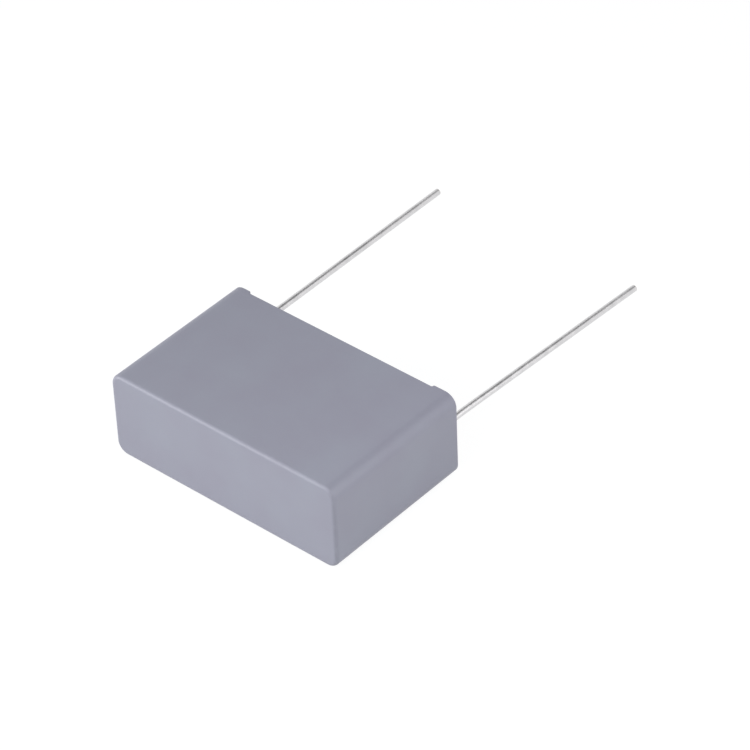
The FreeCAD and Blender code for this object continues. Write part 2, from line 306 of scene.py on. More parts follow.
class NodeGroup(Wiring):
    """A node group under construction, with its own named sockets."""

    def __init__(
        self,
        name: str,
        kind: str,
        inputs: dict[str, float | int | Plug],
        outputs: dict[str, Plug],
    ) -> None:
        """Makes the group and its sockets.

        Args:
            name: The group's name.
            kind: The tree's type name.
            inputs: Input names with their usual value, or what they carry where they have none.
            outputs: Output names with what they carry.
        """
        super().__init__(bpy.data.node_groups.new(name, kind))
        sockets = self.tree.interface
        for label, value in inputs.items():
            usual = Plug.COUNT if isinstance(value, int) else Plug.NUMBER
            plug = value if isinstance(value, Plug) else usual
            entry = sockets.new_socket(label, in_out="INPUT", socket_type=plug.value)
            if plug is not value:
                entry.default_value = value
        for label, plug in outputs.items():
            sockets.new_socket(label, in_out="OUTPUT", socket_type=plug.value)
        self.entrance = self.add("NodeGroupInput")
        self.exit = self.add("NodeGroupOutput")

    def given(self, label: str) -> Socket:
        """Finds one of the group's own inputs by its name."""
        return self.entrance.outputs[label]

    def give(self, value: Socket) -> bpy.types.NodeTree:
        """Sends out the result, and returns the finished tree."""
        self.feed(self.exit.inputs[0], value)
        return self.tree


# Effects that several finishes share


class Effects:
    """The shared effects' node groups, each built once."""

    speck_edge: Pair = (0.7, 1.0)
    mark_and_highlight_span: Pair = (0.35, 0.65)

    def __init__(self) -> None:
        """Builds every group."""
        self.groups = {
            Effect.PATCHES: self._patches(),
            Effect.SPECKS: self._specks(),
            Effect.STREAKS: self._streaks(),
            Effect.RUB: self._rub(),
        }

    @staticmethod
    def _open(effect: Effect, inputs: dict[str, float], output: str) -> NodeGroup:
        """Starts the group of one effect.

        Args:
            effect: Which effect.
            inputs: Its number inputs with their usual values.
            output: The name of its result.

        Returns:
            The group, which also has an input for coordinates.
        """
        every = {"Vector": Plug.VECTOR, **inputs}
        return NodeGroup(effect.value, "ShaderNodeTree", every, {output: Plug.NUMBER})

    def _patches(self) -> bpy.types.NodeTree:
        """Makes soft uneven patches.

        Returns:
            The group, which gives a tone from 0 to 1.
        """
        group = self._open(Effect.PATCHES, {"Patch Size": 2 * MM, "Detail": 3.0}, "Tone")
        pattern = group.noise(group.given("Patch Size"), group.given("Detail"), group.given("Vector"))
        return group.give(group.spread(pattern, NOISE_SPAN, UNIT))

    def _specks(self) -> bpy.types.NodeTree:
        """Makes small scattered dots.

        Returns:
            The group, which gives 1 inside a dot and 0 elsewhere.
        """
        inputs = {"Spacing": 2 * MM, "Dot Share": 0.06, "Filled Share": 0.5}
        group = self._open(Effect.SPECKS, inputs, "Mask")
        cells = group.add("ShaderNodeTexVoronoi")
        group.feed(cells.inputs["Vector"], group.given("Vector"))
        group.feed(cells.inputs["Scale"], group.maths("DIVIDE", 1.0, group.given("Spacing")))
        chance = group.add("ShaderNodeSeparateColor")
        group.feed(chance.inputs[0], cells.outputs["Color"])
        held = group.maths("LESS_THAN", chance.outputs[0], group.given("Filled Share"))
        reached = group.maths("DIVIDE", cells.outputs["Distance"], group.given("Dot Share"))
        dot = group.spread(reached, self.speck_edge, FALLING, smooth=True)
        return group.give(group.maths("MULTIPLY", held, dot))

    def _streaks(self) -> bpy.types.NodeTree:
        """Makes fine lines that run along Y.

        Returns:
            The group, which gives a tone from 0 to 1.
        """
        inputs = {"Across Size": 0.05 * MM, "Along Size": 4 * MM}
        group = self._open(Effect.STREAKS, inputs, "Lines")
        across = group.maths("DIVIDE", 1.0, group.given("Across Size"))
        along = group.maths("DIVIDE", 1.0, group.given("Along Size"))
        factors = group.add("ShaderNodeCombineXYZ")
        for slot, value in zip(factors.inputs, (across, along, across)):
            group.feed(slot, value)
        operands = (group.given("Vector"), factors.outputs[0])
        stretched = group.maths("MULTIPLY", *operands, kind="ShaderNodeVectorMath")
        pattern = group.noise(1.0, vector=stretched)
        return group.give(group.spread(pattern, NOISE_SPAN, UNIT))

    def _rub(self) -> bpy.types.NodeTree:
        """Makes uneven edge marks from the mesh's own edge attribute: on the case, rub wear and a
        painted highlight.

        Returns:
            The group, which gives 1 where an edge is marked most or its painted highlight is
            strongest.
        """
        group = self._open(Effect.RUB, {"Patch Size": 0.8 * MM, "Evenness": 0.5}, "Mask")
        edge = group.add("ShaderNodeAttribute", attribute_name=EDGE_ATTRIBUTE)
        pattern = group.noise(group.given("Patch Size"), vector=group.given("Vector"))
        patches = group.spread(pattern, self.mark_and_highlight_span, UNIT, smooth=True)
        kept = group.maths("MAXIMUM", patches, group.given("Evenness"))
        return group.give(group.maths("MULTIPLY", edge.outputs["Fac"], kept))


# Finishes


class Coat(Wiring):
    """A material under construction, on the object's own coordinates."""

    def __init__(self, name: str, effects: Effects | None = None) -> None:
        """Starts the material with its surface shader.

        Args:
            name: The material's name.
            effects: The shared effects, where the material uses some.
        """
        self.material = bpy.data.materials.new(name)
        self.material.use_nodes = True
        super().__init__(self.material.node_tree)
        self.effects = effects
        self.surface = self.tree.nodes["Principled BSDF"]
        self.place = self.add("ShaderNodeTexCoord").outputs["Object"]

    def effect(self, effect: Effect, **values: float) -> Socket:
        """Puts one shared effect into the material.

        Args:
            effect: Which effect.
            **values: Its inputs, with underscores for spaces.

        Returns:
            The effect's output socket.
        """
        node = self.add("ShaderNodeGroup", node_tree=self.effects.groups[effect])
        self.feed(node.inputs["Vector"], self.place)
        for name, value in values.items():
            self.feed(node.inputs[name.replace("_", " ").title()], value)
        return node.outputs[0]

    def overlay(self, colour: Socket, mask: Socket, strength: float, layer: Colour) -> Socket:
        """Lays a thin layer of another colour over the first.

        Args:
            colour: The colour beneath.
            mask: Where the layer lies.
            strength: How much it hides where the mask is 1.
            layer: The layer's colour.

        Returns:
            The resulting colour's socket.
        """
        return self.blend(self.maths("MULTIPLY", mask, strength), colour, layer)

    def paint(self, colour: Socket, rough: Socket, roughness: Pair) -> None:
        """Sets the surface's colour and roughness.

        Args:
            colour: The colour.
            rough: A tone from 0 to 1 that the roughness follows.
            roughness: The roughness at 0 and at 1.
        """
        self.feed(self.surface.inputs["Base Color"], colour)
        self.feed(self.surface.inputs["Roughness"], self.spread(rough, UNIT, roughness))

    def raise_relief(self, height: Socket, depth: float) -> None:
        """Gives the surface fine relief.

        Args:
            height: The relief's height, from 0.
            depth: How high a height of 1 stands, in metres.
        """
        bump = self.add("ShaderNodeBump")
        bump.inputs["Distance"].default_value = depth
        self.feed(bump.inputs["Height"], height)
        self.feed(self.surface.inputs["Normal"], bump.outputs["Normal"])


@dataclass(frozen=True)
class MouldedPlastic:
    """Blue-grey filled plastic, faintly grained by its mould, its edges lightened partly by rub wear
    and partly by a painted highlight.
    """

    cool: Colour = (0.310, 0.318, 0.384)
    warm: Colour = (0.292, 0.288, 0.356)
    # Lighter colour along the rounded edges: partly rub wear, partly a painted highlight.
    rubbed: Colour = (0.40, 0.40, 0.47)
    speck: Colour = (0.16, 0.16, 0.19)
    roughness: Pair = (0.40, 0.50)
    fine_share: float = 0.25
    rub_and_highlight_strength: float = 0.2
    speck_strength: float = 0.4
    wave_height: float = 2.5
    grain_depth: float = 0.9 * MICRON

    def build(self, effects: Effects) -> bpy.types.Material:
        """Makes the material.

        Args:
            effects: The shared effects.

        Returns:
            The finished material.
        """
        coat = Coat("moulded_plastic", effects)
        broad = coat.effect(Effect.PATCHES, patch_size=7 * MM, detail=2.0)
        fine = coat.effect(Effect.PATCHES, patch_size=0.5 * MM, detail=4.0)
        # Edge mask from the mesh: rub wear plus a painted highlight along the roundings.
        rub = coat.effect(Effect.RUB, patch_size=0.9 * MM, evenness=0.45)
        dots = coat.effect(Effect.SPECKS, spacing=3.2 * MM, dot_share=0.03, filled_share=0.14)
        colour = coat.blend(coat.weigh(broad, fine, self.fine_share), self.warm, self.cool)
        colour = coat.overlay(colour, rub, self.rub_and_highlight_strength, self.rubbed)
        colour = coat.overlay(colour, dots, self.speck_strength, self.speck)
        coat.paint(colour, fine, self.roughness)
        grain = coat.effect(Effect.PATCHES, patch_size=0.07 * MM, detail=2.0)
        waves = coat.effect(Effect.PATCHES, patch_size=3 * MM, detail=1.0)
        relief = coat.maths("ADD", grain, coat.maths("MULTIPLY", waves, self.wave_height))
        coat.raise_relief(relief, self.grain_depth)
        return coat.material


@dataclass(frozen=True)
class PouredResin:
    """Dark grey casting resin, glossy where it set in the open."""

    deep: Colour = (0.052, 0.056, 0.070)
    milky: Colour = (0.100, 0.105, 0.124)
    dust: Colour = (0.30, 0.30, 0.31)
    roughness: Pair = (0.12, 0.32)
    filler_share: float = 0.3
    dust_strength: float = 0.6
    skin_depth: float = 6 * MICRON

    def build(self, effects: Effects) -> bpy.types.Material:
        """Makes the material.

        Args:
            effects: The shared effects.

        Returns:
            The finished material.
        """
        coat = Coat("poured_resin", effects)
        cloud = coat.effect(Effect.PATCHES, patch_size=2.4 * MM, detail=4.0)
        filler = coat.effect(Effect.PATCHES, patch_size=0.12 * MM, detail=2.0)
        dust = coat.effect(Effect.SPECKS, spacing=0.9 * MM, dot_share=0.06, filled_share=0.3)
        colour = coat.blend(coat.weigh(cloud, filler, self.filler_share), self.deep, self.milky)
        colour = coat.overlay(colour, dust, self.dust_strength, self.dust)
        coat.paint(colour, cloud, self.roughness)
        coat.raise_relief(coat.maths("ADD", cloud, filler), self.skin_depth)
        return coat.material


@dataclass(frozen=True)
class TinnedWire:
    """Copper wire with a bright, slightly uneven coat of tin and drawing lines."""

    bright: Colour = (0.74, 0.73, 0.74)
    dull: Colour = (0.585, 0.58, 0.59)
    cut_copper: Colour = (0.60, 0.45, 0.36)
    roughness: Pair = (0.24, 0.36)
    tin_share: float = 0.6
    cut_strength: float = 0.55
    tin_height: float = 2.0
    line_depth: float = 0.35 * MICRON

    def build(self, effects: Effects) -> bpy.types.Material:
        """Makes the material.

        Args:
            effects: The shared effects.

        Returns:
            The finished material.
        """
        coat = Coat("tinned_wire", effects)
        coat.surface.inputs["Metallic"].default_value = 1.0
        lines = coat.effect(Effect.STREAKS, across_size=0.06 * MM, along_size=5 * MM)
        tin = coat.effect(Effect.PATCHES, patch_size=1.1 * MM, detail=3.0)
        cut = coat.effect(Effect.RUB, patch_size=0.2 * MM, evenness=0.6)
        tone = coat.weigh(lines, tin, self.tin_share)
        colour = coat.blend(tone, self.dull, self.bright)
        colour = coat.overlay(colour, cut, self.cut_strength, self.cut_copper)
        coat.paint(colour, tone, self.roughness)
        relief = coat.maths("ADD", lines, coat.maths("MULTIPLY", tin, self.tin_height))
        coat.raise_relief(relief, self.line_depth)
        return coat.material


@dataclass(frozen=True)
class SprayedMetal:
    """Grey metal sprayed on the ends of the winding, rough as fine sand."""

    bright: Colour = (0.42, 0.42, 0.43)
    dark: Colour = (0.17, 0.17, 0.18)
    metal: float = 0.85
    roughness: Pair = (0.55, 0.75)
    drift_share: float = 0.3
    droplet_depth: float = 14 * MICRON

    def build(self, effects: Effects) -> bpy.types.Material:
        """Makes the material.

        Args:
            effects: The shared effects.

        Returns:
            The finished material.
        """
        coat = Coat("sprayed_metal", effects)
        coat.surface.inputs["Metallic"].default_value = self.metal
        droplets = coat.effect(Effect.PATCHES, patch_size=0.09 * MM, detail=5.0)
        drift = coat.effect(Effect.PATCHES, patch_size=1.6 * MM, detail=2.0)
        colour = coat.blend(coat.weigh(droplets, drift, self.drift_share), self.dark, self.bright)
        coat.paint(colour, droplets, self.roughness)
        coat.raise_relief(droplets, self.droplet_depth)
        return coat.material


@dataclass(frozen=True)
class WoundFilm:
    """Film wound flat round a level core: sheen on its flats, the edges of its turns at its ends."""

    name: str
    light: Colour
    dark: Colour
    metal: float
    roughness: Pair
    middle: Pair
    core_half: float
    turn: float = 0.09 * MM
    turn_depth: float = 6 * MICRON
    pull_share: float = 0.4

    def build(self, effects: Effects) -> bpy.types.Material:
        """Makes the material, with rings at even steps from the winding's flat core.

        Args:
            effects: The shared effects.

        Returns:
            The finished material.
        """
        coat = Coat(self.name, effects)
        coat.surface.inputs["Metallic"].default_value = self.metal
        turns = self._turns(coat)
        pull = coat.effect(Effect.STREAKS, across_size=1.4 * MM, along_size=9 * MM)
        colour = coat.blend(coat.weigh(turns, pull, self.pull_share), self.dark, self.light)
        coat.paint(colour, pull, self.roughness)
        coat.raise_relief(turns, self.turn_depth)
        return coat.material

    def _turns(self, coat: Coat) -> Socket:
        """Makes the rings of the film's turns.

        Args:
            coat: The material under construction.

        Returns:
            A tone that rises and falls between 0 and 1 from turn to turn.
        """
        parts = coat.add("ShaderNodeSeparateXYZ")
        coat.feed(parts.inputs[0], coat.place)
        middle_y, middle_z = self.middle
        along = coat.maths("ABSOLUTE", coat.maths("SUBTRACT", parts.outputs[1], middle_y))
        past_core = coat.maths("MAXIMUM", coat.maths("SUBTRACT", along, self.core_half), 0.0)
        above = coat.maths("SUBTRACT", parts.outputs[2], middle_z)
        squares = [coat.maths("MULTIPLY", way, way) for way in (past_core, above)]
        from_core = coat.maths("SQRT", coat.maths("ADD", *squares))
        return coat.maths("PINGPONG", coat.maths("DIVIDE", from_core, self.turn), 1.0)


@dataclass(frozen=True)
class PaleFloor:
    """White paper floor that keeps a soft share of the object's shadow."""

    colour: Colour = (0.75, 0.75, 0.75)
    own_light: float = 0.90
    shadow_share: float = 0.22
    roughness: float = 0.9
    specular: float = 0.1
    fibre_size: float = 0.6 * MM
    fibre_shade: float = 0.99

    def build(self) -> bpy.types.Material:
        """Makes the material. From below it can be seen through.

        Returns:
            The finished material.
        """
        coat = Coat("white_paper")
        coat.surface.inputs["Roughness"].default_value = self.roughness
        coat.surface.inputs["Specular IOR Level"].default_value = self.specular
        shaded = tuple(self.fibre_shade * part for part in self.colour)
        fibre = coat.noise(self.fibre_size, vector=coat.place)
        coat.feed(coat.surface.inputs["Base Color"], coat.blend(fibre, shaded, self.colour))
        paper = coat.surface.outputs[0]
        lit = coat.add("ShaderNodeAddShader")
        dimmed = coat.mix_shaders(self.shadow_share, self._glow(coat, 0.0), paper)
        for slot, shader in zip(lit.inputs, (dimmed, self._glow(coat, self.own_light))):
            coat.feed(slot, shader)
        shown = coat.mix_shaders(coat.background_rays(), paper, lit.outputs[0])
        below = coat.add("ShaderNodeNewGeometry").outputs["Backfacing"]
        clear = coat.add("ShaderNodeBsdfTransparent").outputs[0]
        output = coat.tree.nodes["Material Output"].inputs["Surface"]
        coat.feed(output, coat.mix_shaders(below, shown, clear))
        return coat.material

    @staticmethod
    def _glow(coat: Coat, strength: float) -> Socket:
        """Makes plain white light.

        Args:
            coat: The material under construction.
            strength: The light's strength.

        Returns:
            The shader's socket.
        """
        node = coat.add("ShaderNodeEmission")
        node.inputs["Strength"].default_value = strength
        return node.outputs[0]


# Shape helpers


class ShapeTree(NodeGroup):
    """A Geometry Nodes tree under construction."""

    def __init__(self, name: str, inputs: dict[str, float | int]) -> None:
        """Makes the tree, which also takes a shape and a material.

        Args:
            name: The tree's name.
            inputs: Its own inputs with their usual values.
        """
        every = {"Geometry": Plug.SHAPE, **inputs, "Material": Plug.MATERIAL}
        super().__init__(name, "GeometryNodeTree", every, {"Geometry": Plug.SHAPE})

    def attribute(self, name: str) -> Socket:
        """Reads a number that the mesh carries.

        Args:
            name: The attribute's name.

        Returns:
            Its socket.
        """
        node = self.add("GeometryNodeInputNamedAttribute", data_type="FLOAT")
        node.inputs["Name"].default_value = name
        return node.outputs["Attribute"]

    def look_up(self, points: Socket, index: Socket, value: Socket, data_type: str) -> Socket:
        """Finds what a value is at one of a set of points.

        Args:
            points: The points.
            index: Which point.
            value: The value.
            data_type: Its type's name.

        Returns:
            The value's socket.
        """
        node = self.add("GeometryNodeSampleIndex", data_type=data_type, domain="POINT")
        self.feed(node.inputs["Geometry"], points)
        self.feed(next(slot for slot in node.inputs if slot.name == "Value" and slot.enabled), value)
        self.feed(node.inputs["Index"], index)
        return next(slot for slot in node.outputs if slot.enabled)

    def move(self, shape: Socket, offset: Socket) -> Socket:
        """Moves each point of a shape.

        Args:
            shape: The shape.
            offset: How far each point moves.

        Returns:
            The moved shape's socket.
        """
        node = self.add("GeometryNodeSetPosition")
        self.feed(node.inputs["Geometry"], shape)
        self.feed(node.inputs["Offset"], offset)
        return node.outputs[0]

    def close(self, shape: Socket, smooth: bool = True) -> bpy.types.NodeTree:
        """Ends the tree in real geometry and its material.

        Args:
            shape: The finished shape.
            smooth: Whether all its faces are made smooth.

        Returns:
            The finished tree.
        """
        if smooth:
            shading = self.add("GeometryNodeSetShadeSmooth")
            self.feed(shading.inputs["Geometry"], shape)
            shape = shading.outputs[0]
        real = self.add("GeometryNodeRealizeInstances")
        self.feed(real.inputs[0], shape)
        dress = self.add("GeometryNodeSetMaterial")
        self.feed(dress.inputs["Geometry"], real.outputs[0])
        self.feed(dress.inputs["Material"], self.given("Material"))
        return self.give(dress.outputs[0])


def publish(
    name: str,
    mesh: bpy.types.Mesh,
    material: bpy.types.Material | None = None,
) -> bpy.types.Object:
    """Puts a mesh into the scene as an object at the origin.

    Args:
        name: The object's name.
        mesh: Its mesh, in the part's frame.
        material: Its material, unless it already has one.

    Returns:
        The new object.
    """
    piece = bpy.data.objects.new(name, mesh)
    bpy.context.scene.collection.objects.link(piece)
    if material is not None:
        mesh.materials.clear()
        mesh.materials.append(material)
    return piece


def grow(
    base: bpy.types.Object,
    tree: bpy.types.NodeTree,
    values: dict[str, object],
    name: str,
) -> bpy.types.Mesh:
    """Runs a Geometry Nodes tree on an object and keeps the plain mesh.

    Args:
        base: The object that the tree starts from. It is removed afterwards.
        tree: The tree.
        values: Its inputs by name.
        name: The result's name.

    Returns:
        The resulting mesh.
    """
    modifier = base.modifiers.new("shape", "NODES")
    modifier.node_group = tree
    inputs = [item for item in tree.interface.items_tree if item.in_out == "INPUT"]
    identifiers = {item.name: item.identifier for item in inputs}
    for label, value in values.items():
        modifier[identifiers[label]] = value
    graph = bpy.context.evaluated_depsgraph_get()
    graph.update()
    mesh = bpy.data.meshes.new_from_object(base.evaluated_get(graph))
    mesh.name = name
    base.modifiers.remove(modifier)
    old = base.data
    bpy.data.objects.remove(base)
    bpy.data.meshes.remove(old)
    return mesh


def ease(share: float) -> float:
    """Turns a share into one from 0 to 1 that starts and ends gently."""
    share = min(max(share, 0.0), 1.0)
    return share * share * (3 - 2 * share)


def quarter_turn(steps: int) -> list[float]:
    """Lists the angles from 0 to a quarter turn, in even steps."""
    return [math.radians(90) * index / steps for index in range(steps + 1)]


# Moulded case


@dataclass(frozen=True)
class RimStop:
    """A place along the case's long side, and how far the rim stands back there."""

    along: float
    drop: float = 0.0


@dataclass(frozen=True)
class Ring:
    """One ring of points round the case: its outline, its place along Y and how much it is lightened,
    by rub wear and a painted highlight.
    """

    outline: Outline
    place: float
    seat: Seat = Seat.FIXED
    rub: float = 0.0


@dataclass
class MouldedCase:
    """One-piece box with a drafted cavity, rounded edges and full-height corner feet."""

    # Sizes
    length: float = CASE.x[1] - CASE.x[0]
    thickness: float = CASE.z[1] - CASE.z[0]
    closed_end: float = CASE.y[0]
    seat: float = CASE.y[1]
    step: float = 0.3 * MM
    left_foot: float = 2.5 * MM
    right_foot: float = 3.1 * MM
    wall: float = 0.9 * MM
    cavity_end: float = RESIN.y[0]
    draft_deg: float = 0.5
    corner_radius: float = 1.5 * MM
    closed_edge_radius: float = 0.45 * MM
    cavity_corner_radius: float = 0.7 * MM
    cavity_floor_radius: float = 0.3 * MM
    rim_break: float = 0.07 * MM
    sink: float = 0.03 * MM
    # Share of the edge lightening, rub wear and painted highlight, on the rim's inner edge.
    inner_rub: float = 0.5
    # Division into rings and columns
    corner_steps: int = 14
    closed_edge_steps: int = 9
    cavity_floor_steps: int = 5
    rim_steps: int = 4
    foot_steps: int = 5
    wall_rows: int = 26
    long_columns: int = 46
    short_columns: int = 10
    closed_edge_band: float = 0.06 * MM
    rim_band: float = 0.05 * MM
    left_foot_stops: tuple[float, ...] = (0.5 * MM, 0.25 * MM)
    right_foot_stops: tuple[float, ...] = (0.3 * MM, 0.7 * MM, 1.1 * MM)
    end_shares: tuple[float, ...] = (0.08, 0.2, 0.35, 0.5, 0.64, 0.77, 0.88, 0.96, 0.992)
    cavity_wall_shares: tuple[float, ...] = (0.08, 0.3, 0.6, 0.9)
    cavity_floor_shares: tuple[float, ...] = (0.85, 0.6, 0.3, 0.08)

    @property
    def rim_start(self) -> float:
        """Where the rim's rounding starts, along Y."""
        return self.seat - self.rim_break

    def dress(self, finish: bpy.types.Material) -> bpy.types.Object:
        """Builds the case and puts it in place of its CAD node.

        Args:
            finish: The plastic.

        Returns:
            The finished piece.
        """
        piece = publish("case_moulding", self.mesh(), finish)
        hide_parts("case")
        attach(piece, BODY)
        return piece

    def mesh(self) -> bpy.types.Mesh:
        """Joins rings of points from the closed end, over the rim and down to the cavity's floor.

        Returns:
            The closed mesh.
        """
        shell = bmesh.new()
        layer = shell.verts.layers.float.new(EDGE_ATTRIBUTE)
        rings = self._closed_end() + self._outer_wall() + self._rim()
        rings += self._cavity_wall() + self._cavity_floor()
        rows = [self._add_ring(shell, layer, ring) for ring in rings]
        for lower, upper in zip(rows, rows[1:]):
            for index in range(len(lower)):
                after = (index + 1) % len(lower)
                shell.faces.new((lower[index], lower[after], upper[after], upper[index]))
        shell.faces.new(list(reversed(rows[0])))
        shell.faces.new(rows[-1])
        bmesh.ops.recalc_face_normals(shell, faces=shell.faces)
        for face in shell.faces:
            face.smooth = True
        mesh = bpy.data.meshes.new("case_moulding")
        shell.to_mesh(mesh)
        shell.free()
        return mesh

    def _closed_end(self) -> list[Ring]:
        """Makes the rings of the closed end's face and its rounded edge.

        Returns:
            The rings, from the middle outward.
        """
        radius = self.closed_edge_radius
        rings = [Ring(self._outer(radius, share), self.closed_end) for share in self.end_shares]
        for turn in quarter_turn(self.closed_edge_steps):
            outline = self._outer(radius * (1 - math.sin(turn)))
            place = self.closed_end + radius * (1 - math.cos(turn))
            # Lightening peaks halfway round the rounded edge: a painted highlight there, with some
            # rub wear.
            rings.append(Ring(outline, place, rub=math.sin(2 * turn)))
        return rings

    def _outer_wall(self) -> list[Ring]:
        """Makes the rings of the four outer faces, with one close to each rounded edge.

        Returns:
            The rings, towards the open end.
        """
        outline = self._outer(0.0)
        start, end = self.closed_end + self.closed_edge_radius, self.rim_start
        rings = [Ring(outline, start + self.closed_edge_band)]
        for index in range(1, self.wall_rows):
            place = start + (end - start) * index / self.wall_rows
            rings.append(Ring(outline, place, Seat.STRETCHED))
        rings.append(Ring(outline, end - self.rim_band, Seat.RIM))
        return rings

    def _rim(self) -> list[Ring]:
        """Makes the rings of the rim, whose two edges are slightly rounded.

        Returns:
            The rings, from outside to inside.
        """
        rings: list[Ring] = []
        for turn in quarter_turn(self.rim_steps):
            outline = self._outer(self.rim_break * (1 - math.cos(turn)))
            place = self.rim_start + self.rim_break * math.sin(turn)
            # Both rim edges get the same lightening: painted highlight and rub wear.
            rings.append(Ring(outline, place, Seat.RIM, math.sin(2 * turn)))
        for turn in quarter_turn(self.rim_steps):
            outline = self._cavity(-self.rim_break * (1 - math.sin(turn)))
            place = self.rim_start + self.rim_break * math.cos(turn)
            rings.append(Ring(outline, place, Seat.RIM, self.inner_rub * math.sin(2 * turn)))
        return rings

    def _cavity_wall(self) -> list[Ring]:
        """Makes the rings of the cavity's four drafted walls.

        Returns:
            The rings, towards the cavity's floor.
        """
        start, end = self.rim_start, self.cavity_end + self.cavity_floor_radius
        places = [start + (end - start) * share for share in self.cavity_wall_shares]
        return [Ring(self._cavity(self._drafted(place)), place, Seat.STRETCHED) for place in places]

    def _cavity_floor(self) -> list[Ring]:
        """Makes the rings of the cavity's floor and of the rounding round it.

        Returns:
            The rings, from the wall to the middle.
        """
        radius = self.cavity_floor_radius
        wall_inset = self._drafted(self.cavity_end)
        rings: list[Ring] = []
        for turn in quarter_turn(self.cavity_floor_steps):
            outline = self._cavity(wall_inset + radius * (1 - math.cos(turn)))
            rings.append(Ring(outline, self.cavity_end + radius * (1 - math.sin(turn))))
        for share in self.cavity_floor_shares:
            rings.append(Ring(self._cavity(wall_inset + radius, share), self.cavity_end))
        return rings

    def _drafted(self, place: float) -> float:
        """How far the cavity's wall has come in at a place along Y."""
        return (self.seat - place) * math.tan(math.radians(self.draft_deg))

    def _outer(self, inset: float, share: float = 1.0) -> Outline:
        """The case's outline, moved inward or shrunk towards its middle."""
        half_x, half_z = self.length / 2 - inset, self.thickness / 2 - inset
        return self._outline(half_x, half_z, self.corner_radius - inset, share)

    def _cavity(self, inset: float, share: float = 1.0) -> Outline:
        """Makes the cavity's outline.

        Args:
            inset: How far it is moved inward from the cavity's mouth.
            share: How much of that size it keeps, shrunk towards the middle.

        Returns:
            The outline.
        """
        half_x = self.length / 2 - self.wall - inset
        half_z = self.thickness / 2 - self.wall - inset
        return self._outline(half_x, half_z, self.cavity_corner_radius - inset, share)

    def _long_stops(self) -> list[RimStop]:
        """Places the points of a long side, close together where the rim steps down and up.

        Returns:
            The stops from left to right.
        """
        left = -self.length / 2 + self.left_foot
        right = self.length / 2 - self.right_foot
        curve = self.step / 2
        turns = quarter_turn(self.foot_steps)
        down: list[RimStop] = []
        for turn in turns:
            down.append(RimStop(left - curve * (1 - math.sin(turn)), curve * (1 - math.cos(turn))))
        for turn in turns[1:]:
            down.append(RimStop(left + curve * (1 - math.cos(turn)), curve * (1 + math.sin(turn))))
        up = [RimStop(right + left - stop.along, stop.drop) for stop in reversed(down)]
        start, end = down[-1].along, up[0].along
        gap = (end - start) / (self.long_columns + 1)
        middle = [RimStop(start + gap * (index + 1), self.step) for index in range(self.long_columns)]
        before = [RimStop(down[0].along - part) for part in self.left_foot_stops]
        after = [RimStop(up[-1].along + part) for part in self.right_foot_stops]
        return before + down + middle + up + after

    def _outline(self, half_x: float, half_z: float, radius: float, share: float) -> Outline:
        """Makes points round a rounded rectangle, each with the rim's drop there.

        Args:
            half_x: Half its length.
            half_z: Half its thickness.
            radius: Its corner radius.
            share: How much of its full size it keeps, shrunk towards the middle.

        Returns:
            The outline, counter-clockwise as seen from the closed end.
        """
        stops = self._long_stops()
        core_x, core_z = half_x - radius, half_z - radius
        gap = 2 * core_z / (self.short_columns + 1)
        heights = [gap * (index + 1) - core_z for index in range(self.short_columns)]
        found: Outline = [((stop.along, -half_z), stop.drop) for stop in stops]
        found += self._corner(core_x, -core_z, radius, -90)
        found += [((half_x, height), 0.0) for height in heights]
        found += self._corner(core_x, core_z, radius, 0)
        found += [((stop.along, half_z), stop.drop) for stop in reversed(stops)]
        found += self._corner(-core_x, core_z, radius, 90)
        found += [((-half_x, height), 0.0) for height in reversed(heights)]
        found += self._corner(-core_x, -core_z, radius, 180)
        return [((x * share, z * share), drop) for (x, z), drop in found]

    def _corner(self, x: float, z: float, radius: float, start_deg: float) -> Outline:
        """Makes the points round one corner.

        Args:
            x: The place of its centre along X.
            z: The place of its centre along Z.
            radius: Its radius.
            start_deg: The angle of its first point, in degrees.

        Returns:
            That part of the outline.
        """
        steps = range(self.corner_steps + 1)
        turns = [math.radians(start_deg + 90 * index / self.corner_steps) for index in steps]
        return [((x + radius * math.cos(turn), z + radius * math.sin(turn)), 0.0) for turn in turns]

    def _add_ring(
        self,
        shell: bmesh.types.BMesh,
        layer: bmesh.types.BMLayerItem,
        ring: Ring,
    ) -> list[bmesh.types.BMVert]:
        """Adds one ring's vertices.

        Args:
            shell: The mesh under construction.
            layer: Its edge attribute, which carries the rub wear and painted highlight.
            ring: The ring.

        Returns:
            The new vertices.
        """
        made = []
        drop_share = self._drop_share(ring)
        for (x, z), drop in ring.outline:
            point = self._sunk(Vector((x, ring.place - drop_share * drop, z)))
            vertex = shell.verts.new(point + Vector((0, 0, self.thickness / 2)))
            vertex[layer] = ring.rub
            made.append(vertex)
        return made

    def _drop_share(self, ring: Ring) -> float:
        """Works out how much of the rim's set-back a ring takes.

        Args:
            ring: The ring.

        Returns:
            A share from 0 to 1.
        """
        if ring.seat is Seat.STRETCHED:
            return ease((ring.place - self.closed_end) / (self.seat - self.closed_end))
        return 1.0 if ring.seat is Seat.RIM else 0.0

    def _sunk(self, point: Vector) -> Vector:
        """Draws a point of an outer face slightly inward, most at the middle of the face.

        Args:
            point: The point, measured from the middle of the case.

        Returns:
            The moved point. The open end and the cavity stay as they are.
        """
        half = Vector((self.length / 2, self.seat, self.thickness / 2))
        radii = (self.corner_radius, self.closed_edge_radius, self.corner_radius)
        flat = Vector([size - radius for size, radius in zip(half, radii)])
        moved = point.copy()
        for axis in range(3):
            open_end = axis == 1 and point.y > 0
            if open_end or abs(abs(point[axis]) - half[axis]) > MICRON:
                continue
            depth = self.sink
            for other in range(3):
                if other != axis:
                    depth *= max(0.0, 1 - (point[other] / flat[other]) ** 2)
            moved[axis] -= math.copysign(depth, point[axis])
        return moved


# Cast resin


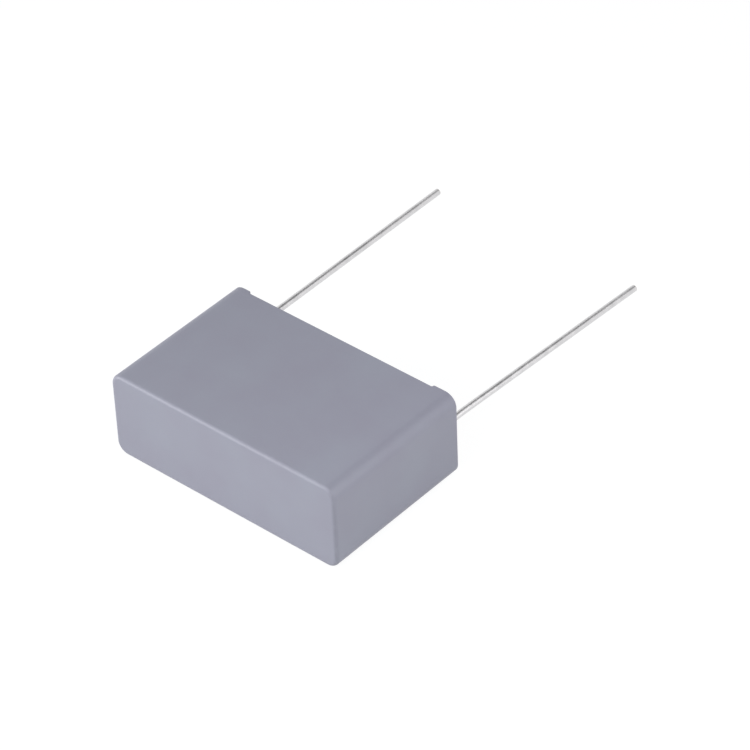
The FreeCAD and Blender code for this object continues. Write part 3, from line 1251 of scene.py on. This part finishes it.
@dataclass
class CastFill:
    """Resin poured round the wound element, with a climbed edge and a few burst bubbles."""

    # Sizes
    climb: float = 0.35 * MM
    climb_reach: float = 0.15 * MM
    level: float = RESIN.y[1] - climb
    cavity_half_x: float = MouldedCase.length / 2 - MouldedCase.wall
    cavity_half_z: float = MouldedCase.thickness / 2 - MouldedCase.wall
    cavity_corner: float = MouldedCase.cavity_corner_radius
    # Waves and bubbles, which leave a calm edge along the wall and the leads
    calm_edge: float = 0.1 * MM
    calm_fade: float = 0.6 * MM
    wave_height: float = 0.05 * MM
    wave_size: float = 4.5 * MM
    wave_middle: float = 0.55
    bubbles_per_square_metre: float = 80000.0
    bubble_radius: float = 0.48 * MM
    bubble_depth: float = 0.17 * MM
    smallest_bubble: float = 0.25
    bubble_skew: float = 2.0
    bubble_limit: float = 0.97
    seed: int = 11
    # Division of the surface
    grid: float = 0.10 * MM
    ring_gaps: tuple[float, ...] = (0.025 * MM, 0.06 * MM, 0.11 * MM, 0.17 * MM, 0.25 * MM)
    past_rings: float = 0.06 * MM
    lead_ring_points: int = 40
    wall_ring_gap: float = 0.16 * MM
    wall_corner_points: int = 7
    # Limits for telling and joining places
    smooth_depth: float = 0.2 * MM
    weld_limit: float = 0.2 * MICRON
    side_limit: float = 12 * MICRON
    outline_slack: float = 20 * MICRON
    plan_limit: float = 1e-9

    def dress(self, finish: bpy.types.Material) -> bpy.types.Object:
        """Builds the resin and puts it in place of its CAD node.

        Args:
            finish: The resin.

        Returns:
            The finished piece.
        """
        base = publish("resin_base", self.base_mesh())
        values = {
            "Wave Height": self.wave_height,
            "Bubble Density": self.bubbles_per_square_metre,
            "Bubble Radius": self.bubble_radius,
            "Bubble Depth": self.bubble_depth,
            "Seed": self.seed,
            "Material": finish,
        }
        mesh = grow(base, self.surface_tree(), values, "resin_casting")
        piece = publish("resin_casting", mesh)
        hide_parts("potting_resin")
        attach(piece, BODY)
        return piece

    def base_mesh(self) -> bpy.types.Mesh:
        """Keeps the CAD node's walls and hollow, and gives it a finely divided open surface.

        Returns:
            The closed mesh, with an attribute from 0 at the surface's edges to 1 well inside.
        """
        solid = bmesh.new()
        solid.from_mesh(frame["nodes"]["potting_resin"].data)
        bmesh.ops.remove_doubles(solid, verts=solid.verts, dist=self.weld_limit)
        surface = [face for face in solid.faces if self._on_surface(face)]
        bmesh.ops.delete(solid, geom=surface, context="FACES")
        rim = [edge for edge in solid.edges if edge.is_boundary]
        self._cover(solid, rim, solid.verts.layers.float.new(OPEN_ATTRIBUTE))
        bmesh.ops.recalc_face_normals(solid, faces=solid.faces)
        for face in solid.faces:
            lowest = min(vertex.co.y for vertex in face.verts)
            face.smooth = lowest > self.level - self.smooth_depth
        mesh = bpy.data.meshes.new("resin_base")
        solid.to_mesh(mesh)
        solid.free()
        return mesh

    def _on_surface(self, face: bmesh.types.BMFace) -> bool:
        """Tells whether a face of the CAD node belongs to its open surface.

        Args:
            face: The face.

        Returns:
            Whether it does.
        """
        if min(vertex.co.y for vertex in face.verts) < self.level - MICRON:
            return False
        on_wall = all(self._from_wall(vertex.co) < self.side_limit for vertex in face.verts)
        on_lead = all(self._from_lead(vertex.co) < self.side_limit for vertex in face.verts)
        return not (on_wall or on_lead)

    def _from_wall(self, point: Vector) -> float:
        """Measures how far a point is from the cavity's wall, seen along Y.

        Args:
            point: The point.

        Returns:
            The distance, below 0 beyond the wall.
        """
        across = Vector((abs(point.x), abs(point.z - MIDDLE_Z)))
        corner = self.cavity_corner
        past = across - Vector((self.cavity_half_x - corner, self.cavity_half_z - corner))
        outside = Vector((max(past.x, 0.0), max(past.y, 0.0))).length
        return corner - outside - min(max(past.x, past.y), 0.0)

    def _from_lead(self, point: Vector) -> float:
        """Distance from a point to the nearer lead's surface, seen along Y."""
        return math.hypot(abs(point.x) - LEAD_X, point.z - MIDDLE_Z) - LEAD_RADIUS

    def _cover(
        self,
        solid: bmesh.types.BMesh,
        rim: list[bmesh.types.BMEdge],
        opened: bmesh.types.BMLayerItem,
    ) -> None:
        """Closes the opening between the wall and the leads with a fine triangulated surface.

        Args:
            solid: The mesh, open at its top.
            rim: The edges round the opening.
            opened: The layer of the attribute that tells how open the surface is.
        """
        around = list({vertex for edge in rim for vertex in edge.verts})
        order = {vertex: index for index, vertex in enumerate(around)}
        joined = [(order[edge.verts[0]], order[edge.verts[1]]) for edge in rim]
        flat = [Vector((vertex.co.x, vertex.co.z)) for vertex in around] + self._inner_places()
        plan = geometry.delaunay_2d_cdt(flat, joined, [], 0, self.plan_limit)
        places, _, faces, origins, _, _ = plan
        made: list[bmesh.types.BMVert] = []
        for place, origin in zip(places, origins):
            known = [index for index in origin if index < len(around)]
            if known:
                made.append(around[known[0]])
                continue
            point = Vector((place.x, 0.0, place.y))
            gap = min(self._from_wall(point), self._from_lead(point))
            point.y = self.level + self.climb * math.exp(-max(gap, 0.0) / self.climb_reach)
            vertex = solid.verts.new(point)
            vertex[opened] = ease((gap - self.calm_edge) / self.calm_fade)
            made.append(vertex)
        for corners in faces:
            middle = sum((made[index].co for index in corners), Vector()) / len(corners)
            if self._from_lead(middle) > 0 and self._from_wall(middle) > -self.outline_slack:
                solid.faces.new([made[index] for index in corners])

    def _inner_places(self) -> list[Vector]:
        """Places the surface's points in plan: even rows, then rings beside the wall and leads.

        Returns:
            The points, as X and Z.
        """
        places: list[Vector] = []
        clear = self.ring_gaps[-1] + self.past_rings
        columns = int(self.cavity_half_x / self.grid)
        rows = int(self.cavity_half_z / self.grid)
        for column in range(-columns, columns + 1):
            for row in range(-rows, rows + 1):
                x = (column + 0.5 * (row % 2)) * self.grid
                point = Vector((x, 0.0, MIDDLE_Z + row * self.grid))
                if self._from_wall(point) > clear and self._from_lead(point) > clear:
                    places.append(Vector((point.x, point.z)))
        for gap in self.ring_gaps:
            places += self._wall_ring(gap)
            for side in Side:
                places += self._lead_ring(side, gap)
        return places

    def _lead_ring(self, side: Side, gap: float) -> list[Vector]:
        """Places points in plan round a lead.

        Args:
            side: Which lead.
            gap: Their distance from its surface.

        Returns:
            The points, as X and Z.
        """
        reach = LEAD_RADIUS + gap
        found: list[Vector] = []
        for index in range(self.lead_ring_points):
            turn = math.tau * index / self.lead_ring_points
            x = side.value * LEAD_X + reach * math.cos(turn)
            found.append(Vector((x, MIDDLE_Z + reach * math.sin(turn))))
        return found

    def _wall_ring(self, gap: float) -> list[Vector]:
        """Places points in plan inside the cavity's wall.

        Args:
            gap: Their distance from it.

        Returns:
            The points, as X and Z.
        """
        half_x, half_z = self.cavity_half_x - gap, self.cavity_half_z - gap
        radius = self.cavity_corner - gap
        straight_x, straight_z = half_x - radius, half_z - radius
        found: list[Vector] = []
        for index in range(int(2 * straight_x / self.wall_ring_gap)):
            x = -straight_x + index * self.wall_ring_gap
            found += [Vector((x, MIDDLE_Z - half_z)), Vector((-x, MIDDLE_Z + half_z))]
        for index in range(int(2 * straight_z / self.wall_ring_gap)):
            z = -straight_z + index * self.wall_ring_gap
            found += [Vector((half_x, MIDDLE_Z + z)), Vector((-half_x, MIDDLE_Z - z))]
        for start_deg, sign_x, sign_z in ((-90, 1, -1), (0, 1, 1), (90, -1, 1), (180, -1, -1)):
            for index in range(self.wall_corner_points):
                turn = math.radians(start_deg + 90 * (index + 0.5) / self.wall_corner_points)
                x = sign_x * straight_x + radius * math.cos(turn)
                z = sign_z * straight_z + radius * math.sin(turn)
                found.append(Vector((x, MIDDLE_Z + z)))
        return found

    def surface_tree(self) -> bpy.types.NodeTree:
        """Makes the tree that gives the open surface its slow waves and burst bubbles.

        Returns:
            The finished tree.
        """
        inputs = {
            "Wave Height": 0.02 * MM,
            "Bubble Density": 50000.0,
            "Bubble Radius": 0.2 * MM,
            "Bubble Depth": 0.1 * MM,
            "Seed": 1,
        }
        tree = ShapeTree("resin_surface", inputs)
        opened = tree.attribute(OPEN_ATTRIBUTE)
        swell = tree.maths("SUBTRACT", tree.noise(self.wave_size), self.wave_middle)
        wave = tree.maths("MULTIPLY", swell, tree.given("Wave Height"))
        rise = tree.maths("SUBTRACT", wave, self._bubble_cups(tree, opened))
        offset = tree.add("ShaderNodeCombineXYZ")
        tree.feed(offset.inputs["Y"], tree.maths("MULTIPLY", rise, opened))
        shaped = tree.move(tree.given("Geometry"), offset.outputs[0])
        return tree.close(shaped, smooth=False)

    def _bubble_cups(self, tree: ShapeTree, opened: Socket) -> Socket:
        """Scatters shallow cups of uneven size, clear of the wall and the leads.

        Args:
            tree: The tree under construction.
            opened: The attribute that tells how open the surface is.

        Returns:
            How deep the nearest cup is at each point of the surface.
        """
        scatter = tree.add("GeometryNodeDistributePointsOnFaces", distribute_method="RANDOM")
        inside = tree.maths("GREATER_THAN", opened, self.bubble_limit)
        tree.feed(scatter.inputs["Mesh"], tree.given("Geometry"))
        tree.feed(scatter.inputs["Selection"], inside)
        tree.feed(scatter.inputs["Density"], tree.given("Bubble Density"))
        tree.feed(scatter.inputs["Seed"], tree.given("Seed"))
        points = scatter.outputs["Points"]
        chance = tree.add("FunctionNodeRandomValue", data_type="FLOAT")
        limits = [slot for slot in chance.inputs if slot.type == "VALUE"]
        for slot, value in zip(limits, (self.smallest_bubble, 1.0)):
            tree.feed(slot, value)
        tree.feed(chance.inputs["Seed"], tree.given("Seed"))
        drawn = next(slot for slot in chance.outputs if slot.type == "VALUE")
        place = tree.add("GeometryNodeInputPosition").outputs[0]
        nearest = tree.add("GeometryNodeSampleNearest", domain="POINT")
        tree.feed(nearest.inputs["Geometry"], points)
        index = nearest.outputs["Index"]
        middle = tree.look_up(points, index, place, "FLOAT_VECTOR")
        skewed = tree.maths("POWER", drawn, self.bubble_skew)
        size = tree.look_up(points, index, skewed, "FLOAT")
        apart = tree.add("ShaderNodeVectorMath", operation="DISTANCE")
        tree.feed(apart.inputs[0], place)
        tree.feed(apart.inputs[1], middle)
        radius = tree.maths("MULTIPLY", tree.given("Bubble Radius"), size)
        reached = tree.maths("DIVIDE", apart.outputs["Value"], radius)
        cup = tree.spread(reached, UNIT, FALLING, smooth=True)
        return tree.maths("MULTIPLY", tree.maths("MULTIPLY", cup, size), tree.given("Bubble Depth"))


# Wire leads


@dataclass
class WireLead:
    """Round tinned wire: straight in the resin, then a gentle bend into its outward lean."""

    side: Side
    lean_deg: float
    tip: float
    foot: float
    bend_start: float = 9.4 * MM
    bend_radius: float = 120 * MM
    tip_break: float = 0.06 * MM
    tip_shares: tuple[float, ...] = (0.0, 0.06, 0.2, 0.45, 0.75, 1.0, 1.6)
    row_gap: float = 0.2 * MM
    round_steps: int = 28
    tin_height: float = 0.007 * MM
    tin_patch: float = 0.9 * MM
    tin_crest: float = 0.75
    seed: int = 3

    @classmethod
    def of(cls, side: Side) -> "WireLead":
        """Takes a lead's lean and tip from its pin mount, and its foot from its CAD node.

        Args:
            side: Which lead.

        Returns:
            The lead.
        """
        word = side.name.lower()
        pin = MOUNTS[f"lead_{word}_pin"]
        out, up, _ = pin["axis"]
        lean_deg = round(math.degrees(math.atan2(abs(out), up)), LEAN_DIGITS)
        tip = pin["pos_m"][1] + up * (pin["dims"]["length_mm"] * MM + cls.tip_break)
        return cls(side, lean_deg, round(tip, MICRON_DIGITS), NodeBox.of(f"lead_{word}").y[0])

    def dress(self, tree: bpy.types.NodeTree, finish: bpy.types.Material) -> bpy.types.Object:
        """Builds the wire and puts it in place of its CAD node.

        Args:
            tree: The tube's tree.
            finish: The tin.

        Returns:
            The finished piece.
        """
        word = self.side.name.lower()
        base = publish(f"wire_route_{word}", self.route_mesh())
        values = {
            "Wire Radius": LEAD_RADIUS,
            "Round Steps": self.round_steps,
            "Tin Height": self.tin_height,
            "Seed": self.seed + self.side.value,
            "Material": finish,
        }
        piece = publish(f"wire_{word}", grow(base, tree, values, f"wire_{word}"))
        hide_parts(f"lead_{word}")
        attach(piece, BODY)
        return piece

    def route_mesh(self) -> bpy.types.Mesh:
        """Makes the wire's centre line, with its girth and how near its cut end is.

        Returns:
            A mesh of edges with both as attributes.
        """
        lean = math.radians(self.lean_deg)
        bend_length = self.bend_radius * lean
        straight = self.bend_start - self.foot
        rise = self.tip - self.bend_start - self.bend_radius * math.sin(lean)
        total = straight + bend_length + rise / math.cos(lean)
        steps = self._steps(total)
        points = [self._at(distance - straight, lean, bend_length) for distance in steps]
        mesh = bpy.data.meshes.new("wire_route")
        mesh.from_pydata(points, [(index, index + 1) for index in range(len(points) - 1)], [])
        girth = mesh.attributes.new(GIRTH_ATTRIBUTE, "FLOAT", "POINT")
        edge = mesh.attributes.new(EDGE_ATTRIBUTE, "FLOAT", "POINT")
        for index, distance in enumerate(steps):
            to_tip = total - distance
            share = min(min(distance, to_tip) / self.tip_break, 1.0)
            rounded_off = 1 - math.sqrt(1 - (1 - share) ** 2)
            girth.data[index].value = 1 - (self.tip_break / LEAD_RADIUS) * rounded_off
            edge.data[index].value = 1.0 - ease(to_tip / (2 * self.tip_break))
        return mesh

    def _steps(self, total: float) -> list[float]:
        """Places points along the wire, close together at both ends.

        Args:
            total: The wire's length.

        Returns:
            Their distances from its inner end.
        """
        fine = [self.tip_break * part for part in self.tip_shares]
        start, end = fine[-1], total - fine[-1]
        count = int((end - start) / self.row_gap)
        middle = [start + (end - start) * index / count for index in range(1, count)]
        return fine + middle + [total - part for part in reversed(fine)]

    def _at(self, past_bend_start: float, lean: float, bend_length: float) -> Vector:
        """Finds a point of the centre line.

        Args:
            past_bend_start: Its distance past the start of the bend.
            lean: The wire's lean past the bend, in radians.
            bend_length: The length of the bend.

        Returns:
            The point.
        """
        out, up = 0.0, past_bend_start
        if past_bend_start > 0:
            turn = min(past_bend_start, bend_length) / self.bend_radius
            beyond = max(past_bend_start - bend_length, 0.0)
            out = self.bend_radius * (1 - math.cos(turn)) + beyond * math.sin(lean)
            up = self.bend_radius * math.sin(turn) + beyond * math.cos(lean)
        return Vector((self.side.value * (LEAD_X + out), self.bend_start + up, MIDDLE_Z))

    @classmethod
    def tube_tree(cls) -> bpy.types.NodeTree:
        """Makes the tree that sweeps a round section along a route and coats it unevenly.

        Returns:
            The finished tree.
        """
        inputs = {
            "Wire Radius": LEAD_RADIUS,
            "Round Steps": 24,
            "Tin Height": 0.005 * MM,
            "Seed": 1,
        }
        tree = ShapeTree("wire_tube", inputs)
        route = tree.add("GeometryNodeMeshToCurve")
        tree.feed(route.inputs["Mesh"], tree.given("Geometry"))
        section = tree.add("GeometryNodeCurvePrimitiveCircle", mode="RADIUS")
        tree.feed(section.inputs["Resolution"], tree.given("Round Steps"))
        tree.feed(section.inputs["Radius"], tree.given("Wire Radius"))
        tube = tree.add("GeometryNodeCurveToMesh")
        tree.feed(tube.inputs["Curve"], route.outputs["Curve"])
        tree.feed(tube.inputs["Profile Curve"], section.outputs["Curve"])
        tree.feed(tube.inputs["Scale"], tree.attribute(GIRTH_ATTRIBUTE))
        tube.inputs["Fill Caps"].default_value = True
        coat = tree.noise(cls.tin_patch, noise_dimensions="4D")
        tree.feed(coat.node.inputs["W"], tree.given("Seed"))
        uneven = tree.maths("SUBTRACT", coat, cls.tin_crest)
        offset = tree.add("ShaderNodeVectorMath", operation="SCALE")
        tree.feed(offset.inputs[0], tree.add("GeometryNodeInputNormal").outputs[0])
        tree.feed(offset.inputs["Scale"], tree.maths("MULTIPLY", uneven, tree.given("Tin Height")))
        return tree.close(tree.move(tube.outputs["Mesh"], offset.outputs[0]))


# Wound element


@dataclass
class WoundElement:
    """The pieces inside the resin, which keep their CAD shapes."""

    middle: Pair = (sum(WINDING.y) / 2, sum(WINDING.z) / 2)
    core_half: float = (WINDING.y[1] - WINDING.y[0] - WINDING.z[1] + WINDING.z[0]) / 2

    def dress(self, effects: Effects) -> list[bpy.types.Object]:
        """Gives each inner CAD node its finish.

        Args:
            effects: The shared effects.

        Returns:
            The dressed nodes.
        """
        film = WoundFilm(
            name="metallised_film",
            light=(0.62, 0.62, 0.64),
            dark=(0.36, 0.36, 0.38),
            metal=0.9,
            roughness=(0.22, 0.34),
            middle=self.middle,
            core_half=self.core_half,
        )
        wrap = WoundFilm(
            name="clear_film",
            light=(0.80, 0.78, 0.70),
            dark=(0.62, 0.60, 0.52),
            metal=0.0,
            roughness=(0.10, 0.22),
            middle=self.middle,
            core_half=self.core_half,
        )
        finishes = {"film_winding": film.build(effects), "cover_film": wrap.build(effects)}
        sprayed = SprayedMetal().build(effects)
        for side in Side:
            finishes[f"end_spray_{side.name.lower()}"] = sprayed
        dressed = []
        for node, finish in finishes.items():
            piece = frame["nodes"][node]
            piece.data.materials.clear()
            piece.data.materials.append(finish)
            dressed.append(piece)
        return dressed


# Studio


def way_out(azimuth_deg: float, elevation_deg: float) -> Vector:
    """Gives the direction from the object to something that stands round it.

    Args:
        azimuth_deg: 0 is in front of the closed end, 90 beyond the right end.
        elevation_deg: Height above the floor's level.

    Returns:
        The direction, of length 1.
    """
    azimuth, elevation = math.radians(azimuth_deg), math.radians(elevation_deg)
    level = math.cos(elevation)
    return Vector((math.sin(azimuth) * level, -math.cos(azimuth) * level, math.sin(elevation)))


@dataclass(frozen=True)
class SoftLamp:
    """A square softbox that faces the object, and that shiny surfaces may mirror or not."""

    name: str
    azimuth_deg: float
    elevation_deg: float
    distance: float
    width: float
    level: float
    mirrored: bool = True

    def hang(self, aim: Vector) -> bpy.types.Object:
        """Puts the lamp in place. At level 1 alone, a white surface that faces it renders white.

        Args:
            aim: The point that it faces.

        Returns:
            The lamp.
        """
        light = bpy.data.lights.new(self.name, "AREA")
        light.size = self.width
        light.energy = self.level * math.pi**2 * self.distance**2
        lamp = bpy.data.objects.new(self.name, light)
        lamp.visible_camera = False
        lamp.visible_glossy = self.mirrored
        way = way_out(self.azimuth_deg, self.elevation_deg)
        lamp.location = aim + way * self.distance
        lamp.rotation_mode = "QUATERNION"
        lamp.rotation_quaternion = way.to_track_quat("Z", "Y")
        bpy.context.scene.collection.objects.link(lamp)
        return lamp


@dataclass
class Studio:
    """Pale floor, soft lamps, an even room and one dark card that metal mirrors."""

    aim: tuple[float, float, float] = (0.0, 0.0, MIDDLE_Z)
    room_level: float = 0.30
    room_colour: Colour = (0.95, 1.0, 1.03)
    white: Colour = (1.0, 1.0, 1.0)
    floor_half: float = 1.4
    floor_drop: float = 0.02 * MM
    opening: Pair = (14.4 * MM, 9.5 * MM)
    card_azimuth_deg: float = 180.0
    card_elevation_deg: float = 54.0
    card_distance: float = 0.30
    card_size: Pair = (0.31, 0.11)
    card_colour: Colour = (0.25, 0.25, 0.25)
    # Each lamp's name, azimuth, elevation, distance, width and level
    lamps: tuple[SoftLamp, ...] = (
        SoftLamp("front_softbox", -46.0, 16.0, 0.40, 0.20, 0.67),
        SoftLamp("near_softbox", 0.0, 45.0, 0.10, 0.09, 0.30),
        SoftLamp("right_softbox", 95.0, 34.0, 0.10, 0.09, 0.45),
        SoftLamp("back_softbox", 176.0, 10.0, 0.50, 0.16, 0.32, mirrored=False),
    )

    def build(self) -> None:
        """Makes the lamps, the floor, the card and the room's light."""
        aim = Vector(self.aim)
        for lamp in self.lamps:
            lamp.hang(aim)
        self._floor()
        self._card(aim)
        self._room()

    def _floor(self) -> None:
        """Lays the floor just under the object, open beneath it so that the underside gets light."""
        spans = ((self.floor_half, self.floor_half), self.opening)
        corners = []
        for span_x, span_y in spans:
            corners += [(x * span_x, y * span_y, -self.floor_drop) for x, y in SQUARE_CORNERS]
        sides = len(SQUARE_CORNERS)
        faces = []
        for index in range(sides):
            after = (index + 1) % sides
            faces.append((index, after, sides + after, sides + index))
        mesh = bpy.data.meshes.new("floor")
        mesh.from_pydata(corners, [], faces)
        publish("floor", mesh, PaleFloor().build())

    def _card(self, aim: Vector) -> None:
        """Stands a dark card behind the object, where only mirroring surfaces see it.

        Args:
            aim: The point that it faces.
        """
        width, height = self.card_size
        corners = [(x * width / 2, y * height / 2, 0.0) for x, y in SQUARE_CORNERS]
        way = way_out(self.card_azimuth_deg, self.card_elevation_deg)
        turn = way.to_track_quat("Z", "Y").to_matrix().to_4x4()
        mesh = bpy.data.meshes.new("dark_card")
        mesh.from_pydata(corners, [], [(0, 1, 2, 3)])
        mesh.transform(Matrix.Translation(aim + way * self.card_distance) @ turn)
        coat = Coat("dark_felt")
        coat.surface.inputs["Base Color"].default_value = (*self.card_colour, 1.0)
        coat.surface.inputs["Roughness"].default_value = 1.0
        card = publish("dark_card", mesh, coat.material)
        card.visible_camera = False
        card.visible_shadow = False
        card.visible_diffuse = False

    def _room(self) -> None:
        """Gives even light, and white to the rays that show the background."""
        world = bpy.data.worlds.new("white_room")
        world.use_nodes = True
        wiring = Wiring(world.node_tree)
        even = world.node_tree.nodes["Background"]
        plain = wiring.add("ShaderNodeBackground")
        levels = ((even, self.room_colour, self.room_level), (plain, self.white, 1.0))
        for node, colour, level in levels:
            node.inputs["Color"].default_value = (*colour, 1.0)
            node.inputs["Strength"].default_value = level
        shown = wiring.mix_shaders(wiring.background_rays(), even.outputs[0], plain.outputs[0])
        wiring.feed(world.node_tree.nodes["World Output"].inputs["Surface"], shown)
        bpy.context.scene.world = world


@dataclass(frozen=True)
class PhotoCamera:
    """The photograph's camera, fitted to the case's outline there."""

    lens: float = 186.47
    sensor: float = 36.0
    azimuth_deg: float = 42.1915
    elevation_deg: float = 39.1210
    roll_deg: float = -2.5665
    distance: float = 426.1356 * MM
    aim: tuple[float, float, float] = (2.2776 * MM, 12.3839 * MM, MIDDLE_Z)
    nearest: float = 0.01
    farthest: float = 10.0

    def place(self) -> bpy.types.Object:
        """Sets the scene's camera.

        Returns:
            The camera.
        """
        back = way_out(self.azimuth_deg, self.elevation_deg)
        data = bpy.data.cameras.new("photo_camera")
        data.lens = self.lens
        data.sensor_width = self.sensor
        data.clip_start = self.nearest
        data.clip_end = self.farthest
        camera = bpy.data.objects.new("photo_camera", data)
        camera.location = Vector(self.aim) + back * self.distance
        camera.rotation_mode = "QUATERNION"
        roll = Quaternion((0.0, 0.0, 1.0), math.radians(self.roll_deg))
        camera.rotation_quaternion = (-back).to_track_quat("-Z", "Y") @ roll
        bpy.context.scene.collection.objects.link(camera)
        bpy.context.scene.camera = camera
        return camera


# Whole part


def report(piece: bpy.types.Object) -> None:
    """Logs one finished piece and its number of triangles."""
    piece.data.calc_loop_triangles()
    LOG.info("%s: %d triangles", piece.name, len(piece.data.loop_triangles))


def main() -> None:
    """Builds the part, its studio and its camera."""
    logging.basicConfig(level=logging.INFO, format="%(message)s")
    PhotoCamera().place()
    effects = Effects()
    report(MouldedCase().dress(MouldedPlastic().build(effects)))
    report(CastFill().dress(PouredResin().build(effects)))
    tube, tin = WireLead.tube_tree(), TinnedWire().build(effects)
    for side in Side:
        report(WireLead.of(side).dress(tube, tin))
    for piece in WoundElement().dress(effects):
        report(piece)
    Studio().build()
    bpy.context.scene.view_settings.view_transform = "Standard"


if __name__ == "__main__":
    main()
